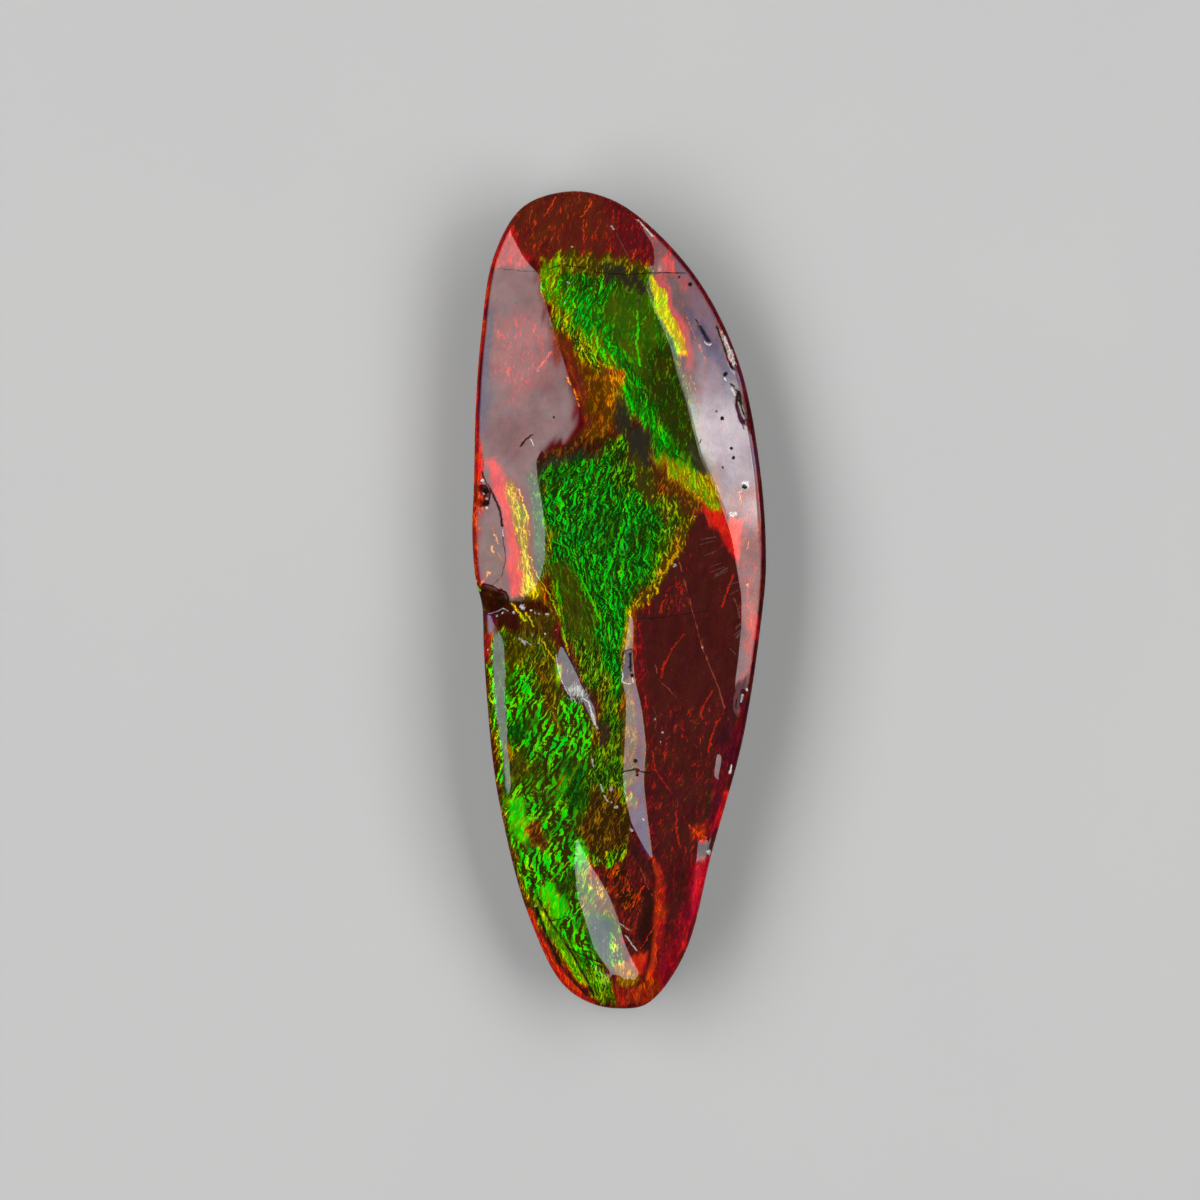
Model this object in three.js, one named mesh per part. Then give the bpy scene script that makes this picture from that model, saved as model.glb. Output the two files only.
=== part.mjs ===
// A free-form piece of ammolite, hand lapped and polished, lying on its flat back.
// Millimetres, +X right, +Y towards the broad end, +Z up through the polished face.
import * as THREE from "three";

// Driving dimensions
const THICKNESS = 6.2; // flat back to the highest point of the face
const FACE_INSET = 0.38; // the polished face stops this far inside the widest outline
const BACK_INSET = 0.95; // the flat back is this much smaller all round
const WAIST_SHARE = 0.58; // height of the widest outline, as a share of the rim's height
const LEAN_LEFT_PANEL = 19; // degrees that the large left panel leans outwards
const LEAN_RIGHT_PANEL = 20; // degrees that the large right panel leans outwards
const LEAN_BEVEL = 20; // degrees on the narrow bevels and flecks
const LEAN_FLANK = 10; // degrees on the right flank of the narrow end
const LEAN_SLIGHT = 4; // degrees across the broad middle facets
const CROWN = 0.0024; // slope gained for each millimetre away from the middle of the length
const CREASE_WIDTH = 0.45; // over which one facet rolls into the next

// Mesh fineness
const CELLS_ACROSS = 34;
const CELLS_ALONG = 92;
const RELIEF_STEP = 0.4; // spacing of the height field that the face is read from
const RELIEF_SWEEPS = 1500;

// The widest outline, seen from above, anticlockwise from the broad end.
const OUTLINE = [
  [-2.9, 24.5], [-5.7, 23.6], [-7.5, 20.6], [-8.3, 15.6], [-8.6, 11.4], [-8.7, 7.2], [-8.8, 3.9],
  [-8.6, 1.3], [-8.25, -0.4], [-8.05, -3], [-7.9, -6], [-7.6, -9.3], [-7.1, -12.5], [-5.6, -18.4],
  [-3.5, -22.9], [-1.9, -24.1], [-0.1, -24.5], [1.7, -24.2], [3.9, -21.2], [5.6, -14.9], [7.4, -8.3],
  [8.5, -1.3], [8.8, 2.3], [8.4, 8.3], [7.2, 14.2], [4.8, 19.1], [1.4, 22.8], [-0.7, 24.1],
];

// Where the outline's two long sides end and its two end arcs begin, in the same turning order.
const CORNERS = [[-6.9, 22.1], [-4.2, -21.8], [3.5, -22.2], [3.6, 20.7]];

// The facets of the face. Each has its outline, and how firmly it holds its lean: a riser is soft,
// and only joins its neighbours. The lean is given at stations along Y, as
// [y, degrees towards +X, degrees towards +Y].
const FACETS = [
  {
    name: "lower left field",
    lean: [[0, -LEAN_SLIGHT, 0]],
    firm: 1,
    outline: [[-10.7, 0], [-3.5, 0], [-1.1, -3], [0.3, -8], [0.4, -14], [-3, -16], [-10.7, -16]],
  },
  {
    name: "right plateau",
    lean: [[0, LEAN_SLIGHT, 0]],
    firm: 1,
    outline: [[4.2, 5], [7, 2.5], [7.6, -5], [5.2, -14], [2.6, -21], [1.6, -22], [2, -14], [0.9, -4],
      [1.5, -1]],
  },
  {
    name: "broad end",
    lean: [[0, 0, 10]],
    firm: 0.6,
    outline: [[-7.7, 25.8], [-6.7, 22.7], [-6.2, 21.4], [-5.6, 20.2], [-3.5, 20.5], [-0.5, 20.2],
      [2.2, 19.6], [2.2, 20.3], [2.1, 21.2], [1.5, 22], [1, 22.9], [1.3, 25.8]],
  },
  {
    name: "left panel",
    lean: [[0, -LEAN_LEFT_PANEL, -3]],
    firm: 1,
    outline: [[-9.4, 22.3], [-6.8, 22.7], [-6.2, 21.4], [-5.6, 20.2], [-4.7, 19.5], [-4.5, 18.2],
      [-4.1, 16.9], [-3.6, 15.3], [-2.9, 13.3], [-2.3, 11.7], [-2.2, 10.6], [-2.6, 9.8], [-3.7, 9.4],
      [-4.6, 8.9], [-5, 8.2], [-4.9, 7.1], [-4.6, 5.8], [-4.4, 4.2], [-4.4, 2.4], [-4.7, 1.4],
      [-5.6, 0.5], [-6.5, 0.1], [-7.4, 0.2], [-7.9, 0.8], [-9.8, 0.8]],
  },
  {
    name: "right panel",
    lean: [
      [-6, LEAN_RIGHT_PANEL, 0],
      [3, LEAN_RIGHT_PANEL, 2],
      [6.5, LEAN_RIGHT_PANEL + 5, 8],
      [11, LEAN_RIGHT_PANEL + 5, 8],
      [14, LEAN_RIGHT_PANEL - 1.5, 7],
      [23, LEAN_RIGHT_PANEL - 2, 7],
    ],
    firm: 1,
    outline: [[0.8, 24.7], [1.1, 23], [1.5, 22], [2.1, 21.2], [2.2, 20.3], [2.2, 19.6], [1.4, 19],
      [2.3, 16.9], [3.1, 15.1], [3.5, 13.4], [4, 11.9], [4.4, 10.2], [4.9, 8.3], [5.7, 6.8], [6.2, 5.3],
      [6.7, 3.9], [7, 2], [7.3, 0.3], [7.3, -1.6], [7.1, -3.6], [6.8, -5.4], [7.7, -5.4], [10.3, -3.6],
      [10.9, 12], [8.5, 19.2], [4.9, 23.7]],
  },
  {
    name: "riser over the middle",
    lean: [[0, 0, 14]],
    firm: 0.05,
    outline: [[-4.9, 8.3], [-4.6, 8.9], [-2.5, 9.8], [-1.2, 9.6], [1.2, 8.6], [1.4, 7.6], [-1.5, 8.4],
      [-4.4, 7.7]],
  },
  {
    name: "broken ledge",
    lean: [[0, 0, 20]],
    firm: 0.05,
    outline: [[-9, 0.7], [-7.3, 0.2], [-5.6, 0.4], [-4.4, 0.7], [-3.6, -0.4], [-4.6, -1.2],
      [-7.1, -1.6], [-9, -1]],
  },
  {
    name: "step to the right plateau",
    lean: [[0, -LEAN_BEVEL, 0]],
    firm: 1,
    outline: [[0.7, -0.5], [0.3, -3], [0.1, -4.8], [0.4, -5.8], [0.3, -8.5], [0.2, -11.1], [0.4, -12.1],
      [0.7, -13.4], [1.4, -14.7], [2.1, -15.7], [1.9, -14.1], [1.7, -12.5], [1.5, -10.8], [1.7, -8.7],
      [1.4, -6.4], [1, -4.8], [0.8, -3], [0.9, -1.7]],
  },
  {
    name: "short bevel",
    lean: [[0, -LEAN_BEVEL, 0]],
    firm: 1,
    outline: [[-3.5, -2.8], [-3.8, -3.7], [-3.6, -4.8], [-3, -5.8], [-2.2, -6.1], [-1.3, -7.8],
      [-1.4, -6.3], [-2, -5.4], [-2.5, -4.3], [-3.1, -3.3]],
  },
  {
    name: "lower left edge",
    lean: [[0, -LEAN_BEVEL, 0]],
    firm: 1,
    outline: [[-8.3, -0.7], [-7.7, -0.7], [-7.4, -1.9], [-6.9, -2.4], [-6.7, -6], [-6.7, -8.7],
      [-6.4, -11.4], [-6.8, -12], [-8.9, -12], [-8.9, -0.7]],
  },
  {
    name: "left flank of the narrow end",
    lean: [[-20, -9, -8], [-13, -6, -3]],
    firm: 1,
    crease: 0.8,
    outline: [[-8, -12], [-6.4, -11.4], [-5.1, -14.2], [-4, -14.9], [-2.8, -15.7], [-2.6, -17.8],
      [-2.2, -19.3], [-1.6, -20.9], [-0.5, -22.5], [0.2, -23.5], [-1.1, -25.8], [-8.9, -24.6]],
  },
  {
    name: "lower bevel",
    lean: [[0, -LEAN_BEVEL, -6]],
    firm: 1,
    outline: [[-2.5, -14.3], [-2.7, -15.8], [-2.5, -17.8], [-2, -19.3], [-1.5, -20.9], [-0.4, -22.4],
      [0.8, -23.1], [1.3, -22.3], [0.7, -21.3], [0.3, -20.4], [0, -19.1], [-0.5, -17.8], [-1.1, -16.7],
      [-1.9, -15.5]],
  },
  {
    name: "right flank of the narrow end",
    lean: [[-20, LEAN_FLANK, -8], [-6, LEAN_FLANK, -2]],
    firm: 1,
    outline: [[6.8, -5.4], [6.5, -7.8], [5.9, -10.5], [5.3, -13.2], [4.7, -15.6], [4.2, -18],
      [3.6, -20.1], [2.9, -21.5], [5.2, -23.1], [10.9, -18], [10.9, -6], [8.5, -4.5]],
  },
  {
    name: "upper fleck on the right flank",
    lean: [[0, LEAN_BEVEL, 0]],
    firm: 1,
    outline: [[5.8, -9.1], [6.2, -9.2], [5.9, -10.7], [5.6, -10.6]],
  },
  {
    name: "lower fleck on the right flank",
    lean: [[0, LEAN_BEVEL, 0]],
    firm: 1,
    outline: [[4.7, -14.3], [5.6, -14.5], [5.5, -15.4], [4.9, -15.7], [4.6, -18], [4.3, -18.9],
      [4.5, -16.2]],
  },
  {
    name: "narrow tip",
    lean: [[0, 0, -22]],
    firm: 1,
    outline: [[-0.4, -22.4], [0.8, -23.1], [1.9, -21.9], [3.2, -21], [4.9, -23.1], [2.5, -25.8],
      [-1.1, -25.8], [-0.8, -23.7]],
  },
];

// Places where the edge of the face is broken away: the middle of each, its reach along X and Y, its depth.
const BITES = [
  { name: "flake off the right edge", at: [7.1, 15], reach: [0.6, 1.5], depth: 0.15 },
  { name: "ragged groove below the flake", at: [7.5, 11.7], reach: [0.5, 1.3], depth: 0.18 },
  { name: "pitted hollow in the left edge", at: [-8.2, 6.2], reach: [0.5, 0.7], depth: 0.35 },
  { name: "broken corner over the ledge", at: [-8.1, 0], reach: [1.6, 1], depth: 0.55 },
  { name: "chipped end of the right panel", at: [7.3, -6.2], reach: [0.5, 0.9], depth: 0.1 },
  { name: "flake beside the tip", at: [-4.6, -20.4], reach: [0.7, 2.4], depth: 0.2 },
];

// Signed distance from a point to a closed outline, negative inside.
function distanceTo(outline, x, y) {
  let nearest = Infinity;
  let inside = false;
  outline.forEach(([ax, ay], i) => {
    const [bx, by] = outline[(i + 1) % outline.length];
    const [ex, ey] = [bx - ax, by - ay];
    const along = THREE.MathUtils.clamp(((x - ax) * ex + (y - ay) * ey) / (ex * ex + ey * ey), 0, 1);
    nearest = Math.min(nearest, Math.hypot(x - ax - along * ex, y - ay - along * ey));
    if (ay > y !== by > y && x < ax + ((y - ay) / ey) * ex) inside = !inside;
  });
  return inside ? -nearest : nearest;
}

// How far the bites lower the face at a point.
function biteDepth(x, y) {
  return BITES.reduce((deepest, { at, reach, depth }) => {
    const away = Math.hypot((x - at[0]) / reach[0], (y - at[1]) / reach[1]);
    return Math.max(deepest, depth * (1 - THREE.MathUtils.smoothstep(away, 0.35, 1)));
  }, 0);
}

// A facet's lean at a place along Y, between its two nearest stations.
function leanAt(stations, y) {
  const above = stations.findIndex((station) => station[0] > y);
  if (above === 0) return stations[0].slice(1);
  if (above < 0) return stations.at(-1).slice(1);
  const [low, high] = [stations[above - 1], stations[above]];
  const share = (y - low[0]) / (high[0] - low[0]);
  return [1, 2].map((axis) => THREE.MathUtils.lerp(low[axis], high[axis], share));
}

// The slope that the facets ask for at a point, and how firmly.
function wantedSlope(x, y) {
  let [slopeX, slopeY, firm] = [0, 0, 1];
  for (const facet of FACETS) {
    const half = (facet.crease ?? CREASE_WIDTH) / 2;
    const share = THREE.MathUtils.smoothstep(-distanceTo(facet.outline, x, y), -half, half);
    const [leanX, leanY] = leanAt(facet.lean, y);
    slopeX += (-Math.tan(THREE.MathUtils.degToRad(leanX)) - slopeX) * share;
    slopeY += (-Math.tan(THREE.MathUtils.degToRad(leanY)) - slopeY) * share;
    firm += (facet.firm - firm) * share;
  }
  slopeY -= CROWN * y;
  return { slopeX, slopeY, firm };
}

// The face's height on a square grid: the surface whose slopes come nearest to the wanted ones.
function makeRelief(halfWidth, halfLength) {
  const columns = Math.ceil(halfWidth / RELIEF_STEP) * 2 + 1;
  const rows = Math.ceil(halfLength / RELIEF_STEP) * 2 + 1;
  const placeX = (i) => (i - (columns - 1) / 2) * RELIEF_STEP;
  const placeY = (j) => (j - (rows - 1) / 2) * RELIEF_STEP;
  const beyondEdge = 0.002; // firmness outside the stone, where nothing has to fit
  const wanted = [];
  for (let j = 0; j < rows; j++) {
    for (let i = 0; i < columns; i++) {
      const found = wantedSlope(placeX(i), placeY(j));
      if (distanceTo(OUTLINE, placeX(i), placeY(j)) > RELIEF_STEP) found.firm *= beyondEdge;
      wanted.push(found);
    }
  }
  const height = new Float64Array(rows * columns);
  const overshoot = 1.93; // successive over-relaxation
  const ways = [[1, 0], [-1, 0], [0, 1], [0, -1]];
  for (let sweep = 0; sweep < RELIEF_SWEEPS; sweep++) {
    for (let j = 0; j < rows; j++) {
      for (let i = 0; i < columns; i++) {
        const here = j * columns + i;
        let [sum, weight] = [0, 0];
        for (const [di, dj] of ways) {
          if (i + di < 0 || i + di >= columns || j + dj < 0 || j + dj >= rows) continue;
          const there = here + dj * columns + di;
          const firm = (wanted[here].firm + wanted[there].firm) / 2;
          const slope = di
            ? (di * (wanted[here].slopeX + wanted[there].slopeX)) / 2
            : (dj * (wanted[here].slopeY + wanted[there].slopeY)) / 2;
          sum += firm * (height[there] - slope * RELIEF_STEP);
          weight += firm;
        }
        height[here] += overshoot * (sum / weight - height[here]);
      }
    }
  }
  return (x, y) => {
    const u = x / RELIEF_STEP + (columns - 1) / 2;
    const v = y / RELIEF_STEP + (rows - 1) / 2;
    const i = THREE.MathUtils.clamp(Math.floor(u), 0, columns - 2);
    const j = THREE.MathUtils.clamp(Math.floor(v), 0, rows - 2);
    const at = (di, dj) => height[(j + dj) * columns + i + di];
    const low = THREE.MathUtils.lerp(at(0, 0), at(1, 0), u - i);
    const high = THREE.MathUtils.lerp(at(0, 1), at(1, 1), u - i);
    return THREE.MathUtils.lerp(low, high, v - j);
  };
}

// The outline as a smooth closed line of evenly spaced points, split into four sides at the corners.
function makeRim() {
  const points = OUTLINE.map(([x, y]) => new THREE.Vector3(x, y, 0));
  const curve = new THREE.CatmullRomCurve3(points, true, "centripetal");
  const fine = curve.getSpacedPoints(2000).slice(0, -1);
  const nearest = ([x, y]) => {
    const away = fine.map((p) => Math.hypot(p.x - x, p.y - y));
    return away.indexOf(Math.min(...away));
  };
  const starts = CORNERS.map(nearest);
  const counts = [CELLS_ALONG, CELLS_ACROSS, CELLS_ALONG, CELLS_ACROSS];
  const rim = [];
  starts.forEach((start, side) => {
    const span = (starts[(side + 1) % 4] - start + fine.length) % fine.length;
    for (let k = 0; k < counts[side]; k++) {
      const at = start + (span * k) / counts[side];
      const here = fine[Math.floor(at) % fine.length];
      const next = fine[Math.ceil(at) % fine.length];
      rim.push(here.clone().lerp(next, at - Math.floor(at)));
    }
  });
  return rim;
}

// The rim moved inwards by an amount that may change from point to point.
function inset(rim, amountAt) {
  return rim.map((point, k) => {
    const before = rim[(k + rim.length - 1) % rim.length];
    const after = rim[(k + 1) % rim.length];
    const along = after.clone().sub(before).normalize();
    const inwards = new THREE.Vector3(-along.y, along.x, 0);
    return point.clone().addScaledVector(inwards, amountAt(k));
  });
}

// The face as a grid of points stretched between the four sides of its edge.
function fillFace(edge) {
  const west = (v) => edge[v];
  const south = (u) => edge[CELLS_ALONG + u];
  const east = (v) => edge[2 * CELLS_ALONG + CELLS_ACROSS - v];
  const north = (u) => edge[(edge.length - u) % edge.length];
  const grid = [];
  for (let v = 0; v <= CELLS_ALONG; v++) {
    for (let u = 0; u <= CELLS_ACROSS; u++) {
      const [s, t] = [u / CELLS_ACROSS, v / CELLS_ALONG];
      const mix = (axis) =>
        (1 - s) * west(v)[axis] + s * east(v)[axis] + (1 - t) * north(u)[axis] + t * south(u)[axis] -
        (1 - s) * ((1 - t) * north(0)[axis] + t * south(0)[axis]) -
        s * ((1 - t) * north(CELLS_ACROSS)[axis] + t * south(CELLS_ACROSS)[axis]);
      grid.push(new THREE.Vector3(mix("x"), mix("y"), 0));
    }
  }
  return grid;
}

function makeStone() {
  const rim = makeRim();
  const edge = inset(rim, () => FACE_INSET);
  const face = fillFace(edge);
  const relief = makeRelief(9.6, 25.2);
  const heights = face.map((p) => relief(p.x, p.y) - biteDepth(p.x, p.y));
  const lift = THICKNESS - Math.max(...heights);
  face.forEach((p, i) => (p.z = heights[i] + lift));

  const vertices = face.flatMap((p) => p.toArray());
  const triangles = [];
  const quad = (a, b, c, d) => triangles.push(a, b, c, a, c, d);
  const stride = CELLS_ACROSS + 1;
  for (let v = 0; v < CELLS_ALONG; v++) {
    for (let u = 0; u < CELLS_ACROSS; u++) {
      const corner = v * stride + u;
      quad(corner, corner + stride, corner + stride + 1, corner + 1);
    }
  }

  // The face's own edge points, in the rim's order
  const last = CELLS_ALONG * stride;
  let ring = rim.map((_, k) => {
    if (k < CELLS_ALONG) return k * stride;
    if (k < CELLS_ALONG + CELLS_ACROSS) return last + (k - CELLS_ALONG);
    const upEast = k - CELLS_ALONG - CELLS_ACROSS;
    if (upEast < CELLS_ALONG) return last + CELLS_ACROSS - upEast * stride;
    return 2 * (CELLS_ALONG + CELLS_ACROSS) - k;
  });
  const rimHeight = ring.map((i) => face[i].z);

  // The side rolls over from the face, bulges to the widest outline and tucks in to the back.
  const roll = 0.5; // drop over which the polished edge is rounded
  const ripple = (k) => 0.12 * Math.sin(k * 0.23) * Math.sin(k * 0.061 + 2) + 0.09 * Math.sin(k * 0.71 + 1);
  const side = [
    { in: () => 0.17, z: (h) => h - 0.28 * roll },
    { in: () => 0.04, z: (h) => h - roll },
    { in: () => 0, z: (h) => h * WAIST_SHARE },
    { in: (k) => 0.25 + ripple(k) * 0.5, z: (h) => h * 0.32 },
    { in: (k) => BACK_INSET * 0.6 + ripple(k), z: () => 0.45 },
    { in: (k) => BACK_INSET + ripple(k), z: () => 0 },
  ];
  for (const level of side) {
    const points = inset(rim, level.in);
    const first = vertices.length / 3;
    points.forEach((p, k) => vertices.push(p.x, p.y, level.z(rimHeight[k])));
    const next = points.map((_, k) => first + k);
    ring.forEach((upper, k) => {
      const after = (k + 1) % ring.length;
      quad(upper, next[k], next[after], ring[after]);
    });
    ring = next;
  }

  // The flat back
  const back = ring.map((i) => new THREE.Vector2(vertices[3 * i], vertices[3 * i + 1]));
  for (const [a, b, c] of THREE.ShapeUtils.triangulateShape(back, [])) {
    triangles.push(ring[a], ring[c], ring[b]);
  }

  const geometry = new THREE.BufferGeometry();
  geometry.setAttribute("position", new THREE.Float32BufferAttribute(vertices, 3));
  geometry.setIndex(triangles);
  geometry.computeBoundingBox();
  const middle = geometry.boundingBox.getCenter(new THREE.Vector3());
  geometry.translate(-middle.x, -middle.y, 0);
  geometry.computeVertexNormals();
  return geometry;
}

const stone = new THREE.Mesh(
  makeStone(),
  new THREE.MeshStandardMaterial({ color: 0x2f6b1c, roughness: 0.15, metalness: 0.2 }),
);
stone.name = "ammolite";

const specimen = new THREE.Group();
specimen.add(stone);
export default specimen;
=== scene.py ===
import math
from types import SimpleNamespace

import bpy
import numpy as np
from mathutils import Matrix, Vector, noise


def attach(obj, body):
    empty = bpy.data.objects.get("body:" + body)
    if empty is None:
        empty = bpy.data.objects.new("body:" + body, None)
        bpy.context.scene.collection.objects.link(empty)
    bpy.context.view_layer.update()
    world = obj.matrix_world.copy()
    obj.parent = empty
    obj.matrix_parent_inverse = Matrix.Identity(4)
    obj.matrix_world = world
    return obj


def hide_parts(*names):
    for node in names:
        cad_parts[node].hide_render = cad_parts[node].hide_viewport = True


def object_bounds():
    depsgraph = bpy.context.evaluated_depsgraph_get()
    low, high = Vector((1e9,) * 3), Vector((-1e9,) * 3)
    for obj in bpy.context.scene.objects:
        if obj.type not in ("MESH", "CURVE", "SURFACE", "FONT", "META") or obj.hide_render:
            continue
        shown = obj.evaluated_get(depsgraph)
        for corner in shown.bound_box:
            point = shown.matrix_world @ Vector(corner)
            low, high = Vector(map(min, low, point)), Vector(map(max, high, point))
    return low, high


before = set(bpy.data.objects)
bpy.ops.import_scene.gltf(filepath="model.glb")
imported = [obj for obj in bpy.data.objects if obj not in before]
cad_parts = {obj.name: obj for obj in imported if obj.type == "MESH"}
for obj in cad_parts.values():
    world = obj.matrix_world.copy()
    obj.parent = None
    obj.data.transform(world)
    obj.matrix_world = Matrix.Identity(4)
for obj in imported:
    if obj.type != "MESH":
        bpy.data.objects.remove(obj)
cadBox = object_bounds()
mm = 0.001

# The shape of the stone, in mm.
stone = {
    "thickness": round(cadBox[1][2] / mm, 3),  # flat back to the highest point of the face
    "faceInset": 0.38,  # the polished face stops this far inside the widest outline
    "trim": 0.99975,  # keeps the widest outline just inside the box of the solid
    "clearance": 0.005,  # of the highest point under the top of that box
    "backInset": 0.95,  # the foot of the side is this much smaller all round
    "backSteps": (0.25, 1.2),  # how much further in the two rings on the flat back lie
    "rollDrop": 0.5,  # drop over which the polished edge is rounded
    "waistShare": 0.58,  # height of the widest outline, as a share of the rim's height
    "tuckBend": 1.7,  # above 1, the side turns in late, near the back
    "crown": 0.0024,  # slope gained for each millimetre away from the middle of the length
    "cellsAcross": 150,
    "cellsAlong": 400,
    "rollRings": 5,
    "sideRings": 20,
    "reliefStep": 0.1,
    "fibreStep": 0.4,
    "halfWidth": 9.6,  # of the rectangle that the relief is worked out on
    "halfLength": 25.6,
    "outsideFrom": 0.3,  # beyond the outline by this much, nothing has to fit
    "outsideFirm": 0.002,  # and the relief is only this firm
    "smoothAngle": 50,
    "biteGloss": ((0.12, 0.287), (1, 0.1)),  # depths of a bite, and how much polish is left there
    "streakStretch": 5,  # the painted areas run out into streaks this many times as long as wide
    "crispEdge": 0.5,  # the edge of an area that fades over less than this wanders less
}
rimCount = 2 * (stone["cellsAlong"] + stone["cellsAcross"])


def points(text):  # "x,y x,y" as a list of places, in mm
    return [tuple(float(part) for part in pair.split(",")) for pair in text.split()]


# the widest outline from above, anticlockwise from the broad end
outline = points(
    "-2.9,24.5 -5.7,23.6 -7.5,20.6 -8.3,15.6 -8.6,11.4 -8.7,7.2 -8.8,3.9 -8.6,1.3 -8.2,-0.4 -8.1,-3 "
    "-7.9,-6 -7.6,-9.3 -7.1,-12.5 -5.6,-18.4 -3.5,-22.9 -1.9,-24.1 -0.1,-24.5 1.7,-24.2 3.9,-21.2 "
    "5.6,-14.9 7.4,-8.3 8.5,-1.3 8.8,2.3 8.4,8.3 7.2,14.2 4.8,19.1 1.4,22.8 -0.7,24.1"
)
corners = points("-6.9,22.1 -4.2,-21.8 3.5,-22.2 3.6,20.7")  # where its sides and its ends meet

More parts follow.
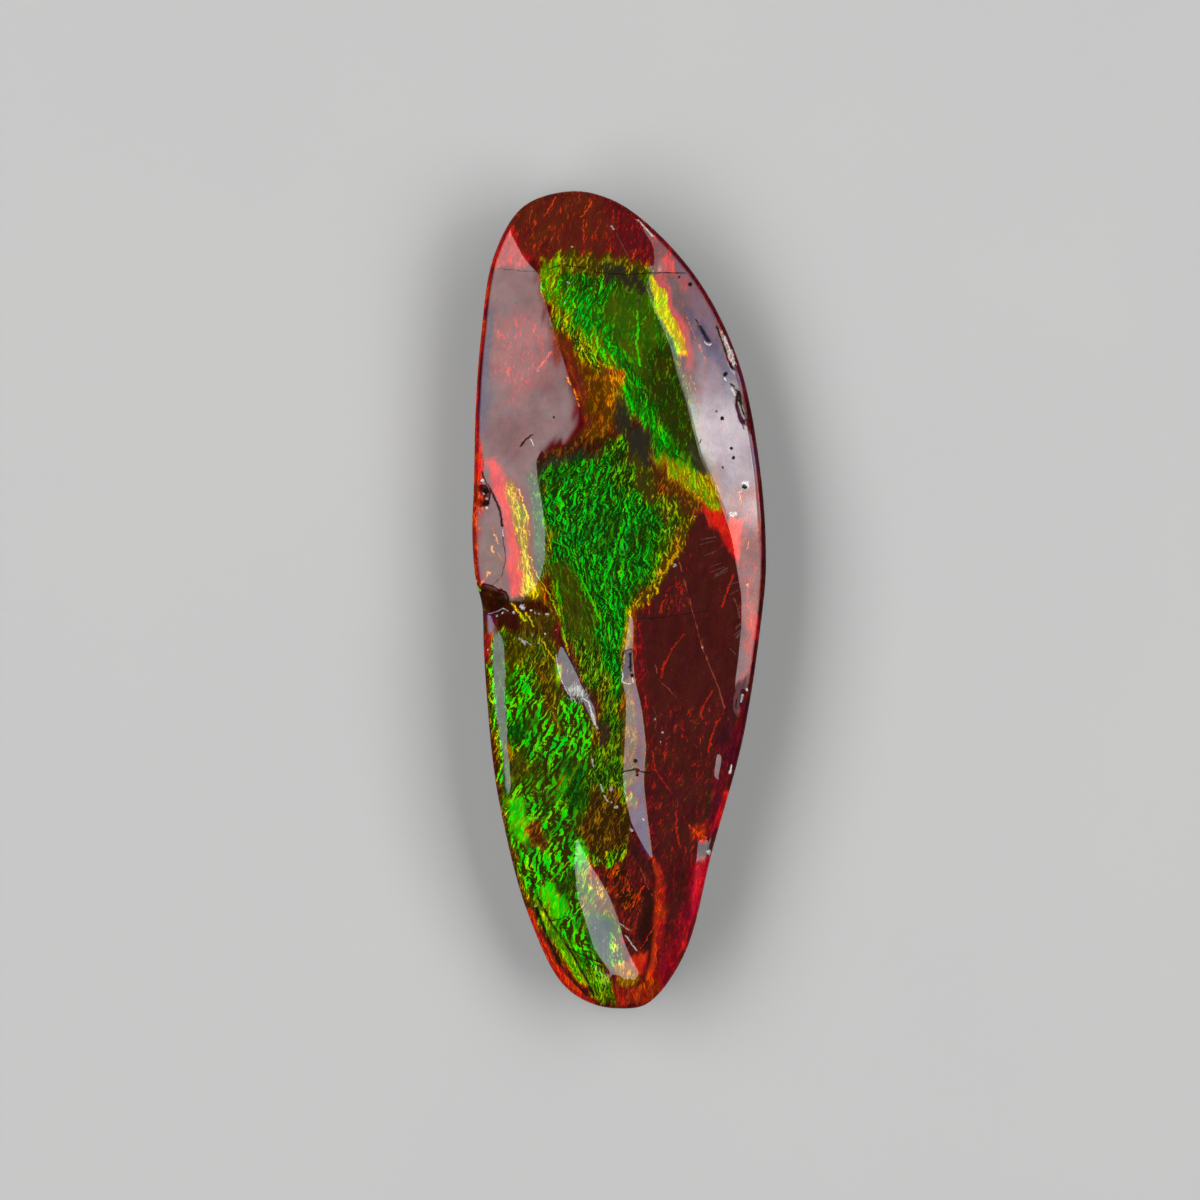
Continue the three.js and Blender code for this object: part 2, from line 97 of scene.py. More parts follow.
# Facets that the face is lapped into. lean holds stations along the length: y, then the degrees
# that the facet leans towards +x and +y there. firm is how strictly it keeps that lean.
facets = [
    {"name": "lower left field", "lean": [(0, -4, 0)], "firm": 1, "crease": 0.3,
     "outline": "-10.7,0 -3.5,0 -1.1,-3 0.3,-8 0.4,-14 -3,-16 -10.7,-16"},
    {"name": "right plateau", "lean": [(0, 4, 0)], "firm": 1, "crease": 0.3,
     "outline": "4.2,5 7,2.5 7.6,-5 5.2,-14 2.6,-21 1.6,-22 2,-14 0.9,-4 1.5,-1"},
    {"name": "broad end", "lean": [(0, 0, 10)], "firm": 0.6, "crease": 0.25,
     "outline": "-7.7,25.8 -6.7,22.7 -6.2,21.4 -5.6,20.2 -3.5,20.5 -0.5,20.2 2.2,19.6 2.2,20.3 2.1,21.2 "
                "1.5,22 1,22.9 1.3,25.8"},
    {"name": "left panel", "lean": [(0, -19, -3)], "firm": 1, "crease": 0.2,
     "outline": "-9.4,22.3 -6.8,22.7 -6.2,21.4 -5.6,20.2 -4.7,19.5 -4.5,18.2 -4.1,16.9 -3.6,15.3 "
                "-2.9,13.3 -2.3,11.7 -2.2,10.6 -2.6,9.8 -3.7,9.4 -4.6,8.9 -5,8.2 -4.9,7.1 -4.6,5.8 "
                "-4.4,4.2 -4.4,2.4 -4.7,1.4 -5.6,0.5 -6.5,0.1 -7.4,0.2 -7.9,0.8 -9.8,0.8"},
    {"name": "right panel",
     "lean": [(-6, 20, 0), (3, 20, 2), (6.5, 25, 8), (11, 25, 8), (14, 18.5, 7), (23, 18, 7)],
     "firm": 1, "crease": 0.2,
     "outline": "0.8,24.7 1.1,23 1.5,22 2.1,21.2 2.2,20.3 2.2,19.6 1.4,19 2.3,16.9 3.1,15.1 3.5,13.4 "
                "4,11.9 4.4,10.2 4.9,8.3 5.7,6.8 6.2,5.3 6.7,3.9 7,2 7.3,0.3 7.3,-1.6 7.1,-3.6 6.8,-5.4 "
                "7.7,-5.4 10.3,-3.6 10.9,12 8.5,19.2 4.9,23.7"},
    {"name": "riser over the middle", "lean": [(0, 0, 14)], "firm": 0.05, "crease": 0.3,
     "outline": "-4.9,8.3 -4.6,8.9 -2.5,9.8 -1.2,9.6 1.2,8.6 1.4,7.6 -1.5,8.4 -4.4,7.7"},
    {"name": "broken ledge", "lean": [(0, 0, 20)], "firm": 0.05, "crease": 0.3,
     "outline": "-9,0.7 -7.3,0.2 -5.6,0.4 -4.4,0.7 -3.6,-0.4 -4.6,-1.2 -7.1,-1.6 -9,-1"},
    {"name": "step to the right plateau", "lean": [(0, -20, 0)], "firm": 1, "crease": 0.15,
     "outline": "0.7,-0.5 0.3,-3 0.1,-4.8 0.4,-5.8 0.3,-8.5 0.2,-11.1 0.4,-12.1 0.7,-13.4 1.4,-14.7 "
                "2.1,-15.7 1.9,-14.1 1.7,-12.5 1.5,-10.8 1.7,-8.7 1.4,-6.4 1,-4.8 0.8,-3 0.9,-1.7"},
    {"name": "short bevel", "lean": [(0, -20, 0)], "firm": 1, "crease": 0.15,
     "outline": "-3.5,-2.8 -3.8,-3.7 -3.6,-4.8 -3,-5.8 -2.2,-6.1 -1.3,-7.8 -1.4,-6.3 -2,-5.4 -2.5,-4.3 "
                "-3.1,-3.3"},
    {"name": "lower left edge", "lean": [(0, -20, 0)], "firm": 1, "crease": 0.2,
     "outline": "-8.3,-0.7 -7.7,-0.7 -7.4,-1.9 -6.9,-2.4 -6.7,-6 -6.7,-8.7 -6.4,-11.4 -6.8,-12 -8.9,-12 "
                "-8.9,-0.7"},
    {"name": "left flank of the narrow end", "lean": [(-13, -6, -3), (-20, -9, -8)],
     "firm": 1, "crease": 0.8,
     "outline": "-8,-12 -6.4,-11.4 -5.1,-14.2 -4,-14.9 -2.8,-15.7 -2.6,-17.8 -2.2,-19.3 -1.6,-20.9 "
                "-0.5,-22.5 0.2,-23.5 -1.1,-25.8 -8.9,-24.6"},
    {"name": "lower bevel", "lean": [(0, -20, -6)], "firm": 1, "crease": 0.15,
     "outline": "-2.5,-14.3 -2.7,-15.8 -2.5,-17.8 -2,-19.3 -1.5,-20.9 -0.4,-22.4 0.8,-23.1 1.3,-22.3 "
                "0.7,-21.3 0.3,-20.4 0,-19.1 -0.5,-17.8 -1.1,-16.7 -1.9,-15.5"},
    {"name": "right flank of the narrow end", "lean": [(-6, 10, -2), (-20, 10, -8)],
     "firm": 1, "crease": 0.4,
     "outline": "6.8,-5.4 6.5,-7.8 5.9,-10.5 5.3,-13.2 4.7,-15.6 4.2,-18 3.6,-20.1 2.9,-21.5 5.2,-23.1 "
                "10.9,-18 10.9,-6 8.5,-4.5"},
    {"name": "upper fleck on the right flank", "lean": [(0, 20, 0)], "firm": 1, "crease": 0.12,
     "outline": "5.8,-9.1 6.2,-9.2 5.9,-10.7 5.6,-10.6"},
    {"name": "lower fleck on the right flank", "lean": [(0, 20, 0)], "firm": 1, "crease": 0.12,
     "outline": "4.7,-14.3 5.6,-14.5 5.5,-15.4 4.9,-15.7 4.6,-18 4.3,-18.9 4.5,-16.2"},
    {"name": "narrow tip", "lean": [(0, 0, -22)], "firm": 1, "crease": 0.2,
     "outline": "-0.4,-22.4 0.8,-23.1 1.9,-21.9 3.2,-21 4.9,-23.1 2.5,-25.8 -1.1,-25.8 -0.8,-23.7"},
]

# Places where the edge of the face is broken away: the middle of each, its reach along x and y
# and its depth.
bites = [
    {"name": "flake off the right edge", "at": (7.1, 15), "reach": (0.6, 1.5), "depth": 0.15},
    {"name": "ragged groove below the flake", "at": (7.5, 11.7), "reach": (0.5, 1.3), "depth": 0.18},
    {"name": "pitted hollow in the left edge", "at": (-8.2, 6.2), "reach": (0.5, 0.7), "depth": 0.35},
    {"name": "broken corner over the ledge", "at": (-8.1, 0), "reach": (1.6, 1), "depth": 0.55},
    {"name": "chipped end of the right panel", "at": (7.3, -6.2), "reach": (0.5, 0.9), "depth": 0.1},
    {"name": "flake beside the tip", "at": (-4.6, -20.4), "reach": (0.7, 2.4), "depth": 0.2},
]

# Layers of smooth noise: the size of each, its waves for each mm, and its seed.
roughness = {
    "polish": [(0.007, 0.6, 2.5), (0.0016, 2.1, 5.5)],  # what hand polishing leaves
    "biteRims": [(0.16, 2.2, 3.5), (0.1, 5, 6.5)],
    "streaks": [(0.55, 0.5, 1.5), (0.35, 1, 7.5)],  # of the painted areas, along the fibres
    "strayX": [(0.3, 1, 4.5)],
    "strayY": [(0.3, 1, 8.5)],
}


def smoothStep(value, low, high):
    share = np.clip((value - low) / (high - low), 0, 1)
    return share * share * (3 - 2 * share)


def wander(x, y, perMm, seed):  # smooth noise from -1 to 1, without loops smaller than 1 / perMm
    places = np.stack([x.ravel() * perMm, y.ravel() * perMm], 1)
    found = [noise.noise(Vector((a, b, seed))) for a, b in places]
    return np.array(found).reshape(x.shape)


def roughen(x, y, name):
    return sum(size * wander(x, y, perMm, seed) for size, perMm, seed in roughness[name])


def distanceTo(loop, x, y):  # negative inside the loop
    nearest = np.full(x.shape, 1e9)
    inside = np.zeros(x.shape, bool)
    for i, (ax, ay) in enumerate(loop):
        bx, by = loop[(i + 1) % len(loop)]
        ex, ey = bx - ax, by - ay
        along = np.clip(((x - ax) * ex + (y - ay) * ey) / (ex * ex + ey * ey), 0, 1)
        nearest = np.minimum(nearest, np.hypot(x - ax - along * ex, y - ay - along * ey))
        if ey:
            inside ^= ((ay > y) != (by > y)) & (x < ax + (y - ay) / ey * ex)
    return np.where(inside, -nearest, nearest)


def sampleGrid(grid, x, y):
    xs, ys, values = grid
    u = np.clip((x - xs[0]) / (xs[1] - xs[0]), 0, len(xs) - 1.001)
    v = np.clip((y - ys[0]) / (ys[1] - ys[0]), 0, len(ys) - 1.001)
    i, j = u.astype(int), v.astype(int)
    u, v = u - i, v - j
    low = values[j, i] * (1 - u) + values[j, i + 1] * u
    high = values[j + 1, i] * (1 - u) + values[j + 1, i + 1] * u
    return low * (1 - v) + high * v


def settle(slopesAt, finest, levels, sweeps=300, overshoot=1.86):
    # the surface whose slopes come nearest to the wanted ones, from a coarse grid to a fine one
    grid = None
    for level in reversed(range(levels)):
        step = finest * 2**level
        columns, rows = round(stone["halfWidth"] / step), round(stone["halfLength"] / step)
        xs, ys = np.arange(-columns, columns + 1) * step, np.arange(-rows, rows + 1) * step
        x, y = np.meshgrid(xs, ys)
        slopeX, slopeY, firm = slopesAt(x, y)
        height = np.zeros_like(x) if grid is None else sampleGrid(grid, x, y)
        firmX, firmY = (firm[:, 1:] + firm[:, :-1]) / 2, (firm[1:] + firm[:-1]) / 2
        riseX = (slopeX[:, 1:] + slopeX[:, :-1]) / 2 * step * firmX
        riseY = (slopeY[1:] + slopeY[:-1]) / 2 * step * firmY
        total, lift = np.zeros_like(x), np.zeros_like(x)
        for share, rise, here, there in (
            (firmX, riseX, np.s_[:, 1:], np.s_[:, :-1]),
            (firmY, riseY, np.s_[1:], np.s_[:-1]),
        ):
            total[here] += share
            total[there] += share
            lift[here] += rise
            lift[there] -= rise
        odd = (np.indices(x.shape).sum(0) % 2).astype(bool)
        for sweep in range(sweeps):
            for turn in (odd, ~odd):
                pull = lift.copy()
                pull[:, 1:] += firmX * height[:, :-1]
                pull[:, :-1] += firmX * height[:, 1:]
                pull[1:] += firmY * height[:-1]
                pull[:-1] += firmY * height[1:]
                height[turn] += (overshoot * (pull / total - height))[turn]
        grid = xs, ys, height
    return grid


def facetSlopes(x, y):
    slopeX, slopeY, firm = np.zeros_like(x), np.zeros_like(x), np.ones_like(x)
    for facet in facets:
        half = facet["crease"] / 2
        share = smoothStep(-distanceTo(points(facet["outline"]), x, y), -half, half)
        places, leansX, leansY = zip(*sorted(facet["lean"]))
        leanX, leanY = np.interp(y, places, leansX), np.interp(y, places, leansY)
        slopeX += (-np.tan(np.radians(leanX)) - slopeX) * share
        slopeY += (-np.tan(np.radians(leanY)) - slopeY) * share
        firm += (facet["firm"] - firm) * share
    outside = distanceTo(outline, x, y) > stone["outsideFrom"]
    firm = np.where(outside, firm * stone["outsideFirm"], firm)
    return slopeX, slopeY - stone["crown"] * y, firm


def biteDepth(x, y):
    ragged = roughen(x, y, "biteRims")
    depth = np.zeros_like(x)
    for bite in bites:
        (atX, atY), (reachX, reachY) = bite["at"], bite["reach"]
        away = np.hypot((x - atX) / reachX, (y - atY) / reachY) + ragged
        depth = np.maximum(depth, bite["depth"] * (1 - smoothStep(away, 0.35, 1)))
    return depth


# The lie of the fibres in the shell: places, and the degrees that they run there, from +x.
fibreLie = [
    (-3.5, 22.5, 72), (0.1, 22.2, 78), (-5.3, 21, 68), (1.9, 21, 80), (-5.6, 16.2, 70), (-5.9, 10.8, 60),
    (-6.8, 4.8, 108), (-5, 3.6, 112), (-3.5, 18.6, 60), (-1.7, 17.4, 55), (1.3, 17.4, 92),
    (-1.1, 14.4, 118), (2.2, 13.2, 96), (3.4, 9.6, 100), (1.3, 11.1, 85), (-3.5, 7.2, 60), (-1.1, 7.8, 62),
    (-2.3, 4.8, 62), (0.1, 4.8, 70), (2.5, 6, 60), (4.9, 6.6, 130), (-3.5, 1.2, 112), (-1.7, 0, 112),
    (1.3, 1.2, 62), (0.1, -2.4, 88), (-0.5, -5.4, 84), (4.9, 0, 85), (3.7, -6, 66), (5.8, 2.4, 100),
    (2.5, -10.8, 70), (4.9, -12, 60), (-5.3, -4.8, 66), (-5.9, -9.6, 64), (-3.5, -9.6, 66),
    (-1.1, -8.4, 92), (-1.1, -12, 84), (-4.4, -14.4, 58), (-5.3, -16.2, 100), (-3.5, -18.6, 62),
    (1.3, -18, 62), (2.8, -18, 82), (-1.7, -21.6, 120), (-3.5, -21.6, 125), (3.7, -20.4, 76),
    (0.7, -23.4, 70), (7.6, 2.4, 80), (6.1, 12, 80), (4.9, 18, 80),
]


def fibreAngle(x, y):
    turnX, turnY = np.zeros_like(x), np.zeros_like(x)
    for placeX, placeY, angle in fibreLie:
        weight = 1 / ((x - placeX) ** 2 + ((y - placeY) * 0.7) ** 2 + 0.8) ** 1.5
        turnX += weight * math.cos(math.radians(2 * angle))
        turnY += weight * math.sin(math.radians(2 * angle))
    angle = np.arctan2(turnY, turnX) / 2
    return np.where(angle < 0, angle + math.pi, angle)


def fibreSlopes(x, y):  # of a coordinate that rises by 1 for each mm across the fibres
    angle = fibreAngle(x, y)
    return np.sin(angle), -np.cos(angle), np.ones_like(x)


# What every place has before the areas are painted. hue is the colour of the flash: 0 violet,
# 0.12 crimson, 0.21 red, 0.4 orange, 0.49 amber, 0.56 yellow, 0.63 lime, 0.72 green, 0.88 teal.
usual = {
    "hue": 0.2,
    "glow": 0.3,  # how strongly the fibres flash
    "shade": 0.6,  # how light the ground between them is
    "gloss": 1,  # how polished
    "sheen": 0,  # how strongly the ground flashes too
    "sparse": 0,  # how few the strands are
    "crumple": 0,  # how far the flash is painted as glints on the slopes of crumpled foil: 0.8 finely, 1 coarsely
    "slate": 0,  # how far the colour is gone to dark grey; in the band under the left panel this grey is painted shadow
    "pale": 0,  # how chalky; on the short bevel the chalk is partly a painted reflection
}

# Areas of the face, painted in this order: the hue, the glow, the shade, how far the edge fades in
# mm, what else isn't usual there, and the outline. One without a hue only changes what it names.
areas = [
    ("broad end", 0.27, 0.95, 1, 0.35, {"sheen": 0.06, "sparse": 0.6},
     "-8.9,27 4.9,27 4.9,20.3 2.2,19.6 0.1,20.3 -3.5,20.6 -5.3,19.9 -6.8,19.8 -8.3,20.3"),
    ("crimson corner of the broad end", 0.19, 1, 0.9, 1.2, {"sheen": 0.06, "sparse": 0.4},
     "-1.7,25.2 1.9,25.2 4.9,21 4.3,19.5 2.2,19.6 0.4,20.3 -0.4,21.9"),
    ("olive seam", 0.53, 0.6, 1.1, 0.4, {},
     "-4.7,20.3 -3.5,20.8 -0.5,20.6 2.2,20 2.2,19.4 -1.1,19.4 -4.4,19.7"),
    ("left panel", 0.17, 0.4, 0.45, 0.5, {"sheen": 0.08, "sparse": 1.4},
     "-10.1,20.3 -6.8,19.9 -5.5,19.9 -4.7,19.3 -4.4,18 -3.8,16.5 -3.2,15 -2.6,13.2 -1.9,11.5 -1.9,10.6 "
     "-2.3,9.7 -3.5,9.2 -4.6,8.8 -5,8 -4.9,7.1 -4.4,5.7 -4.3,4.2 -4.3,2.4 -4.7,1.2 -5.6,0.4 -7.1,0 "
     "-10.1,0"),
    ("pink corner of the left panel", 0.2, 0.6, 0.7, 0.5, {"sheen": 0.3},
     "-7.7,20.3 -7.1,22.5 -6.4,22.5 -5.8,21 -5.3,19.9 -6.2,19.7"),
    ("red strokes of the left panel", 0.2, 0.8, 0.5, 1.6, {"sheen": 0.15, "sparse": 0.4},
     "-7.4,16.8 -5.3,17.3 -3.8,15.9 -4,13.5 -5.3,12 -6.8,12 -7.6,14.4"),
    ("red band of the left panel", 0.19, 0.5, 0.9, 0.45, {"sheen": 0.56, "gloss": 0.78},
     "-8.1,8.5 -7.4,8.2 -6.9,7.3 -6.5,6 -6.2,4.5 -5.8,2.4 -5.8,0.1 -6.4,0.2 -6.7,1.5 -6.7,3.3 -7,4.8 "
     "-7.3,6 -7.7,7"),
    ("yellow strokes of the left panel", 0.51, 1.5, 0.5, 0.6, {"sheen": 0.2, "sparse": 0.1, "gloss": 0.5},
     "-6.9,7.2 -6.2,7.1 -5.3,5.1 -5.1,2.4 -4.6,0.5 -4.9,-0.2 -5.8,0 -5.9,2.4 -6.4,4.8"),
    ("grey edge of the left panel", 0.67, 0.5, 0.6, 0.3, {"slate": 0.5},
     "-5.5,7.8 -4.9,7.2 -4.4,5.7 -4.3,4.2 -4.3,2.4 -4.7,1.3 -5,2.4 -5.1,4.8"),
    ("upper green", 0.68, 1.1, 0.9, 0.7, {"sparse": 0.2, "crumple": 0.84},
     "-4.7,19.7 -1.1,19.4 1.9,19.5 2.9,17.4 4.3,12 5,8.3 4.3,7.3 2.2,8.6 1.3,10.2 0.4,12.9 -0.4,14.3 "
     "-1.7,15.3 -2.9,16.7 -4.3,17.9"),
    ("smooth green", 0.65, 0.25, 1.5, 0.8, {"sheen": 0.03, "sparse": 0.3},
     "-0.8,18 0.5,18.6 1.7,18 2.6,15.6 1.9,13.2 1,13.2 -0.1,15.1 -0.9,16.7"),
    ("yellow-green blotches", 0.63, 2.2, 0.6, 0.7, {"sheen": 0.14, "crumple": 0.86, "pale": 0.08},
     "-4.7,20.3 -3.8,20.3 -3.4,18.6 -2,16.5 -0.4,15 0.2,13.3 -0.8,13.4 -2,15 -3.2,16.7 -4.4,18"),
    ("green blotches", 0.72, 1.9, 0.6, 0.5, {"sheen": 0.08, "crumple": 0.86},
     "-3.5,18 -1.7,18.5 -0.8,16.2 0.1,15 0.2,13.9 -1.1,15.3 -2.6,16.5"),
    ("amber flank", 0.41, 0.55, 1.2, 0.5, {"sheen": 0.03},
     "-4.1,16.9 -3.2,16.6 -1.7,14.9 -0.4,13.4 0.5,13 0.1,12.2 -0.2,10.2 -1.6,9.4 -2.5,9 -1.9,10.6 "
     "-1.9,11.5 -2.6,13.2 -3.4,15.3"),
    ("red-brown edge of the amber flank", 0.3, 0.3, 1.3, 0.5, {"sheen": 0.04},
     "-4.3,16.9 -3.5,16.6 -2.6,14.4 -1.9,12.3 -1.7,10.5 -2.2,11.1 -2.9,13.2 -3.8,15.3"),
    ("orange corner", 0.41, 1, 1.4, 0.25, {"sheen": 0.1},
     "-0.9,13.7 0.2,13.9 0.6,13 0,12.7 -0.2,11.7 -0.8,11.4 -1,12.6"),
    # painted shadow: a dark band along the foot of the left panel
    ("painted shade seam under the left panel", 0.38, 0.35, 0.5, 0.3, {"slate": 0.15},
     "-5.2,8 -4.4,8.9 -2.5,9.6 -1.1,9.8 -1.4,9.2 -3.5,8.6 -4.7,7.4 -5,7"),
    ("slate patch in the middle", 0.56, 0.02, 0.45, 0.8, {"slate": 0.75},
     "-0.1,12.6 0.4,12.1 0.8,10.2 1.9,9.4 2.2,7.2 1.6,7.3 0.8,8.5 -0.1,10.3"),
    # painted shadow: grey slate darkens the band along the foot of the left panel
    ("painted shadow under the left panel", 0.56, 0.05, 0.5, 0.5, {"slate": 0.8},
     "-5.1,7.1 -4.4,8.2 -2.8,8.9 -0.9,9.2 -0.8,8.9 -1.9,8.4 -3.9,7.6 -4.7,6.5"),
    ("slate tip of the upper green", 0.56, 0.05, 0.5, 0.6, {"slate": 0.8},
     "4,10.3 4.6,10.2 5.2,8.4 5.6,6.8 4.9,7.2 4.3,8.3"),
    ("slate head of the upper green", 0.56, 0.1, 0.5, 0.5, {"slate": 0.5},
     "-1.1,19.9 0.9,19.7 1.9,18.2 1.3,18 0.4,19 -0.9,19.2"),
    ("central green", 0.72, 1.5, 0.72, 0.9, {"crumple": 0.84},
     "-4.9,7.1 -4,8 -1.1,9 0.2,9.5 1,7.8 1.9,6.1 3.7,5.7 4.5,4.7 3.4,2.4 1.6,0.1 0.8,-0.7 0.7,-3.3 "
     "0.2,-6 -0.9,-6 -2.5,-3.7 -3.4,-1.8 -4,0 -4.4,1.5 -4.3,3.6 -4.7,5.7"),
    ("bright strokes below the amber flank", 0.65, 1.1, 0.6, 0.5, {},
     "-1.1,9.6 0.3,10.1 0.8,7.8 0.7,6 -0.1,6.6 -0.8,8.3"),
    ("dull olive", 0.56, 0.5, 1, 0.5, {"sparse": 0.6, "slate": 0.1}, "0.7,8.9 2,7.8 2.5,6 1.9,5.4 0.9,6.6"),
    ("olive towards the plateau", 0.58, 0.8, 0.8, 1.2, {},
     "1.9,6.6 3.7,6 4.6,4.8 3.9,3.2 2.2,0.7 1,-0.4 1.3,0.7 2.2,2.4 2.7,4.2"),
    ("plain olive", 0.61, 0.35, 1.1, 1.1, {"sparse": 0.5, "crumple": 0.5},
     "-4.3,2.4 -2.8,2.3 -2.1,0.6 -1.3,-1.2 -1.4,-2.7 -2.6,-2.9 -3.2,-1.5 -3.7,0 -4.3,1.5"),
    ("upper edge of the plateau", 0.47, 1.1, 0.6, 0.45, {"sheen": 0.05},
     "4.4,4.9 4,4.2 3.6,3.1 3,2.2 2.4,1.1 1.8,0.1 1.3,-0.9 0.8,-1.1 0.7,-0.6 0.9,0.1 1.5,0.7 2.2,1.6 "
     "2.6,2.5 3.2,3.5 3.8,4.4"),
    ("yellow band", 0.58, 1.3, 0.9, 0.6, {"sheen": 0.25, "crumple": 0.8},
     "2,8.8 3.2,8.5 4.3,7.9 5.2,7.4 6.1,6.4 6.3,5.4 5.3,5.4 4.4,6 3.4,7 2.5,7.8"),
    ("orange head of the plateau", 0.41, 0.5, 1.2, 0.5, {},
     "2.2,8.3 3.7,6.8 4.9,5.9 5.2,5.2 4.3,5 3.1,6 2,7.2"),
    ("red head of the plateau", 0.21, 1.4, 1, 0.4, {"sheen": 0.6},
     "5,5.5 6.2,5.5 6.7,4.3 7,2.6 6.4,3.1 5.7,4.3 5,5"),
    ("yellow edge of the right panel", 0.55, 1.5, 1, 0.3, {"sheen": 0.45, "gloss": 0.15},
     "1.7,19.5 2.2,19.4 2.5,18.9 2.8,18.2 3.1,17.7 3.3,17 3.5,16.3 3.8,15.6 4,14.8 3.5,14.8 3.2,15.4 "
     "2.9,16 2.6,16.3 2.3,17 1.9,17.8 1.7,18.5"),
    ("pink edge of the right panel", 0.17, 0.4, 0.8, 0.35, {"sheen": 0.5, "gloss": 0.9},
     "2.3,19.4 2.7,19.4 2.9,18.7 3.2,18 3.6,17.3 3.9,16.6 4.2,15.7 4.4,14.9 4.6,13.9 4.4,13.8 4.1,14.5 "
     "4,15.3 3.6,16.3 3.3,17 3.1,17.7 2.8,18.4 2.5,19"),
    ("violet of the right panel", 0.07, 0.3, 0.9, 0.8, {"sheen": 0.1, "sparse": 1, "slate": 0.1},
     "3.2,20.3 4.9,20.3 8.5,16.2 9.7,11.4 9.4,7.8 6.7,6 5.6,7.2 5,10.2 4.6,13.8 4.3,18"),
    ("foot of the right panel", 0.23, 0.35, 0.6, 0.6, {"sheen": 0.1},
     "6.2,6 9.4,7.8 10,2.4 9.4,-3.6 7.6,-6 6.7,-6 7.3,-2.4 7.3,0.3 6.9,3"),
    ("plateau", 0.23, 0.4, 0.9, 0.3, {"sheen": 0.006, "sparse": 1.1},
     "5.1,4.9 6.2,3.6 7,2 7.3,0 7.3,-3 6.8,-6 6.2,-8.7 5.2,-12 4.4,-15 3.9,-18 3.2,-20.1 2.5,-18 2,-15.7 "
     "1.6,-12 1.5,-8.7 1.3,-6 0.9,-3 1,-1.1 1.6,-0.8 2,0 2.5,1 3.1,1.9 3.6,2.7 4.1,4.1"),
    ("red left edge of the plateau", 0.19, 0.7, 0.9, 0.3, {"sheen": 0.04},
     "1,-1.7 1.4,-1.2 1.6,-3.6 1.7,-6 2,-10.2 2.2,-15 1.9,-15 1.8,-12 1.7,-9.6 1.6,-7.7 1.3,-6.2 "
     "1.1,-5.2 1,-3.9 1,-2.7"),
    ("broken ledge", 0.49, 0.4, 0.8, 0.3, {"crumple": 0.5, "slate": 0.1, "gloss": 0.3},
     "-8.5,1 -7.4,0.2 -5.6,0.4 -4.3,0.1 -3.2,-0.7 -4,-2 -5.9,-1.7 -7.1,-2.4 -8.5,-1.9"),
    ("lower left field", 0.68, 1.4, 0.66, 0.9, {"crumple": 1},
     "-8.1,-2.2 -5.9,-1.7 -4.3,-2.4 -2.8,-3.8 -1.4,-6.9 -1.1,-9.6 -1.3,-12 -1.9,-14.7 -2.5,-16.1 "
     "-2,-19.3 -1,-21.5 -0.3,-24.2 -3.5,-21.7 -5.5,-18.1 -6.7,-14.4 -7.5,-9.6"),
    ("brown top of the lower left field", 0.56, 0.6, 0.8, 0.6, {"crumple": 0.7},
     "-7.1,-2.2 -4.3,-1.9 -3.2,-3.3 -2.8,-5.4 -4.1,-6 -5.3,-4.2 -6.8,-3.6"),
    ("orange fleck", 0.49, 0.9, 0.6, 0.3, {"crumple": 0.5},
     "-4.9,-3.8 -4.3,-3.7 -4,-5.4 -4.4,-6.3 -4.7,-5.4"),
    ("yellow blotch", 0.64, 1.9, 0.7, 0.35, {"sheen": 0.2, "crumple": 0.86},
     "-3.7,-10.5 -2.7,-10.1 -2.5,-11.1 -3.1,-12 -3.8,-12"),
    ("orange bow", 0.62, 1.7, 0.5, 0.3, {"sheen": 0.15, "crumple": 0.86},
     "-5.5,-13.7 -4.7,-13.6 -4.1,-14.3 -4.5,-15 -5.2,-14.5"),
    ("green glare", 0.69, 1.4, 0.9, 0.4, {"sheen": 0.45, "crumple": 0.6},
     "-6.7,-11.8 -5.8,-12 -5.2,-13.8 -5.6,-15 -6.3,-13.8"),
    ("green glare by the tip", 0.7, 1.4, 1, 0.35, {"sheen": 0.5, "crumple": 0.6},
     "-4.7,-16.8 -3.8,-17 -3.1,-18.6 -3.5,-19.1 -4.4,-18.3"),
    ("middle column", 0.62, 1.1, 0.5, 0.5, {"crumple": 0.5},
     "-2.8,-2.4 -1.4,-3 -0.1,-5.4 0.4,-8.4 0.5,-12 0.2,-15 -1.4,-15.5 -1.9,-12.6 -1.6,-9.6 -1.5,-6.9 "
     "-2.2,-5.4"),
    ("dark foot of the middle column", 0.45, 0.35, 0.55, 0.6, {},
     "-1.9,-11.5 -0.3,-11.3 0.5,-12.9 0.8,-14.7 -0.4,-15.1 -1.5,-14.8 -2.3,-13.6"),
    ("yellow hem of the middle column", 0.62, 1.5, 0.5, 0.35, {"crumple": 0.4},
     "-2.5,-14.8 -1.1,-15.1 0.2,-14.9 0.5,-14.1 0.8,-15 0.1,-15.7 -1.5,-15.8"),
    ("red field by the tip", 0.23, 0.6, 0.8, 0.45, {"crumple": 0.5},
     "-1.5,-16 0.2,-15.6 1,-14.8 2,-16 2.7,-18 2.9,-20.4 2,-22.8 0.9,-22.3 0.2,-20.1 -0.7,-18"),
    ("orange strokes by the tip", 0.3, 1, 0.5, 0.5, {}, "-0.9,-16 0.2,-15.8 1.5,-17.4 0.9,-18.9 0.1,-18"),
    ("bright stroke", 0.28, 1.9, 0.9, 0.25, {"sheen": 0.5},
     "1.7,-15.1 2.2,-15.5 2.9,-17 3.1,-18.3 2.7,-19.3 2.3,-20.7 2,-22.6 1.6,-22.6 1.9,-20.4 2.2,-18.3 "
     "2.2,-16.8"),
    ("crimson flank", 0.16, 0.7, 1, 0.5, {"sheen": 0.2},
     "4.9,-12 5.8,-11.8 5.6,-15 4.9,-18.3 3.9,-21.3 2.7,-23.5 1.3,-24.4 1.1,-23.6 2.2,-22.3 3.2,-20.1 "
     "4,-17.7 4.6,-15"),
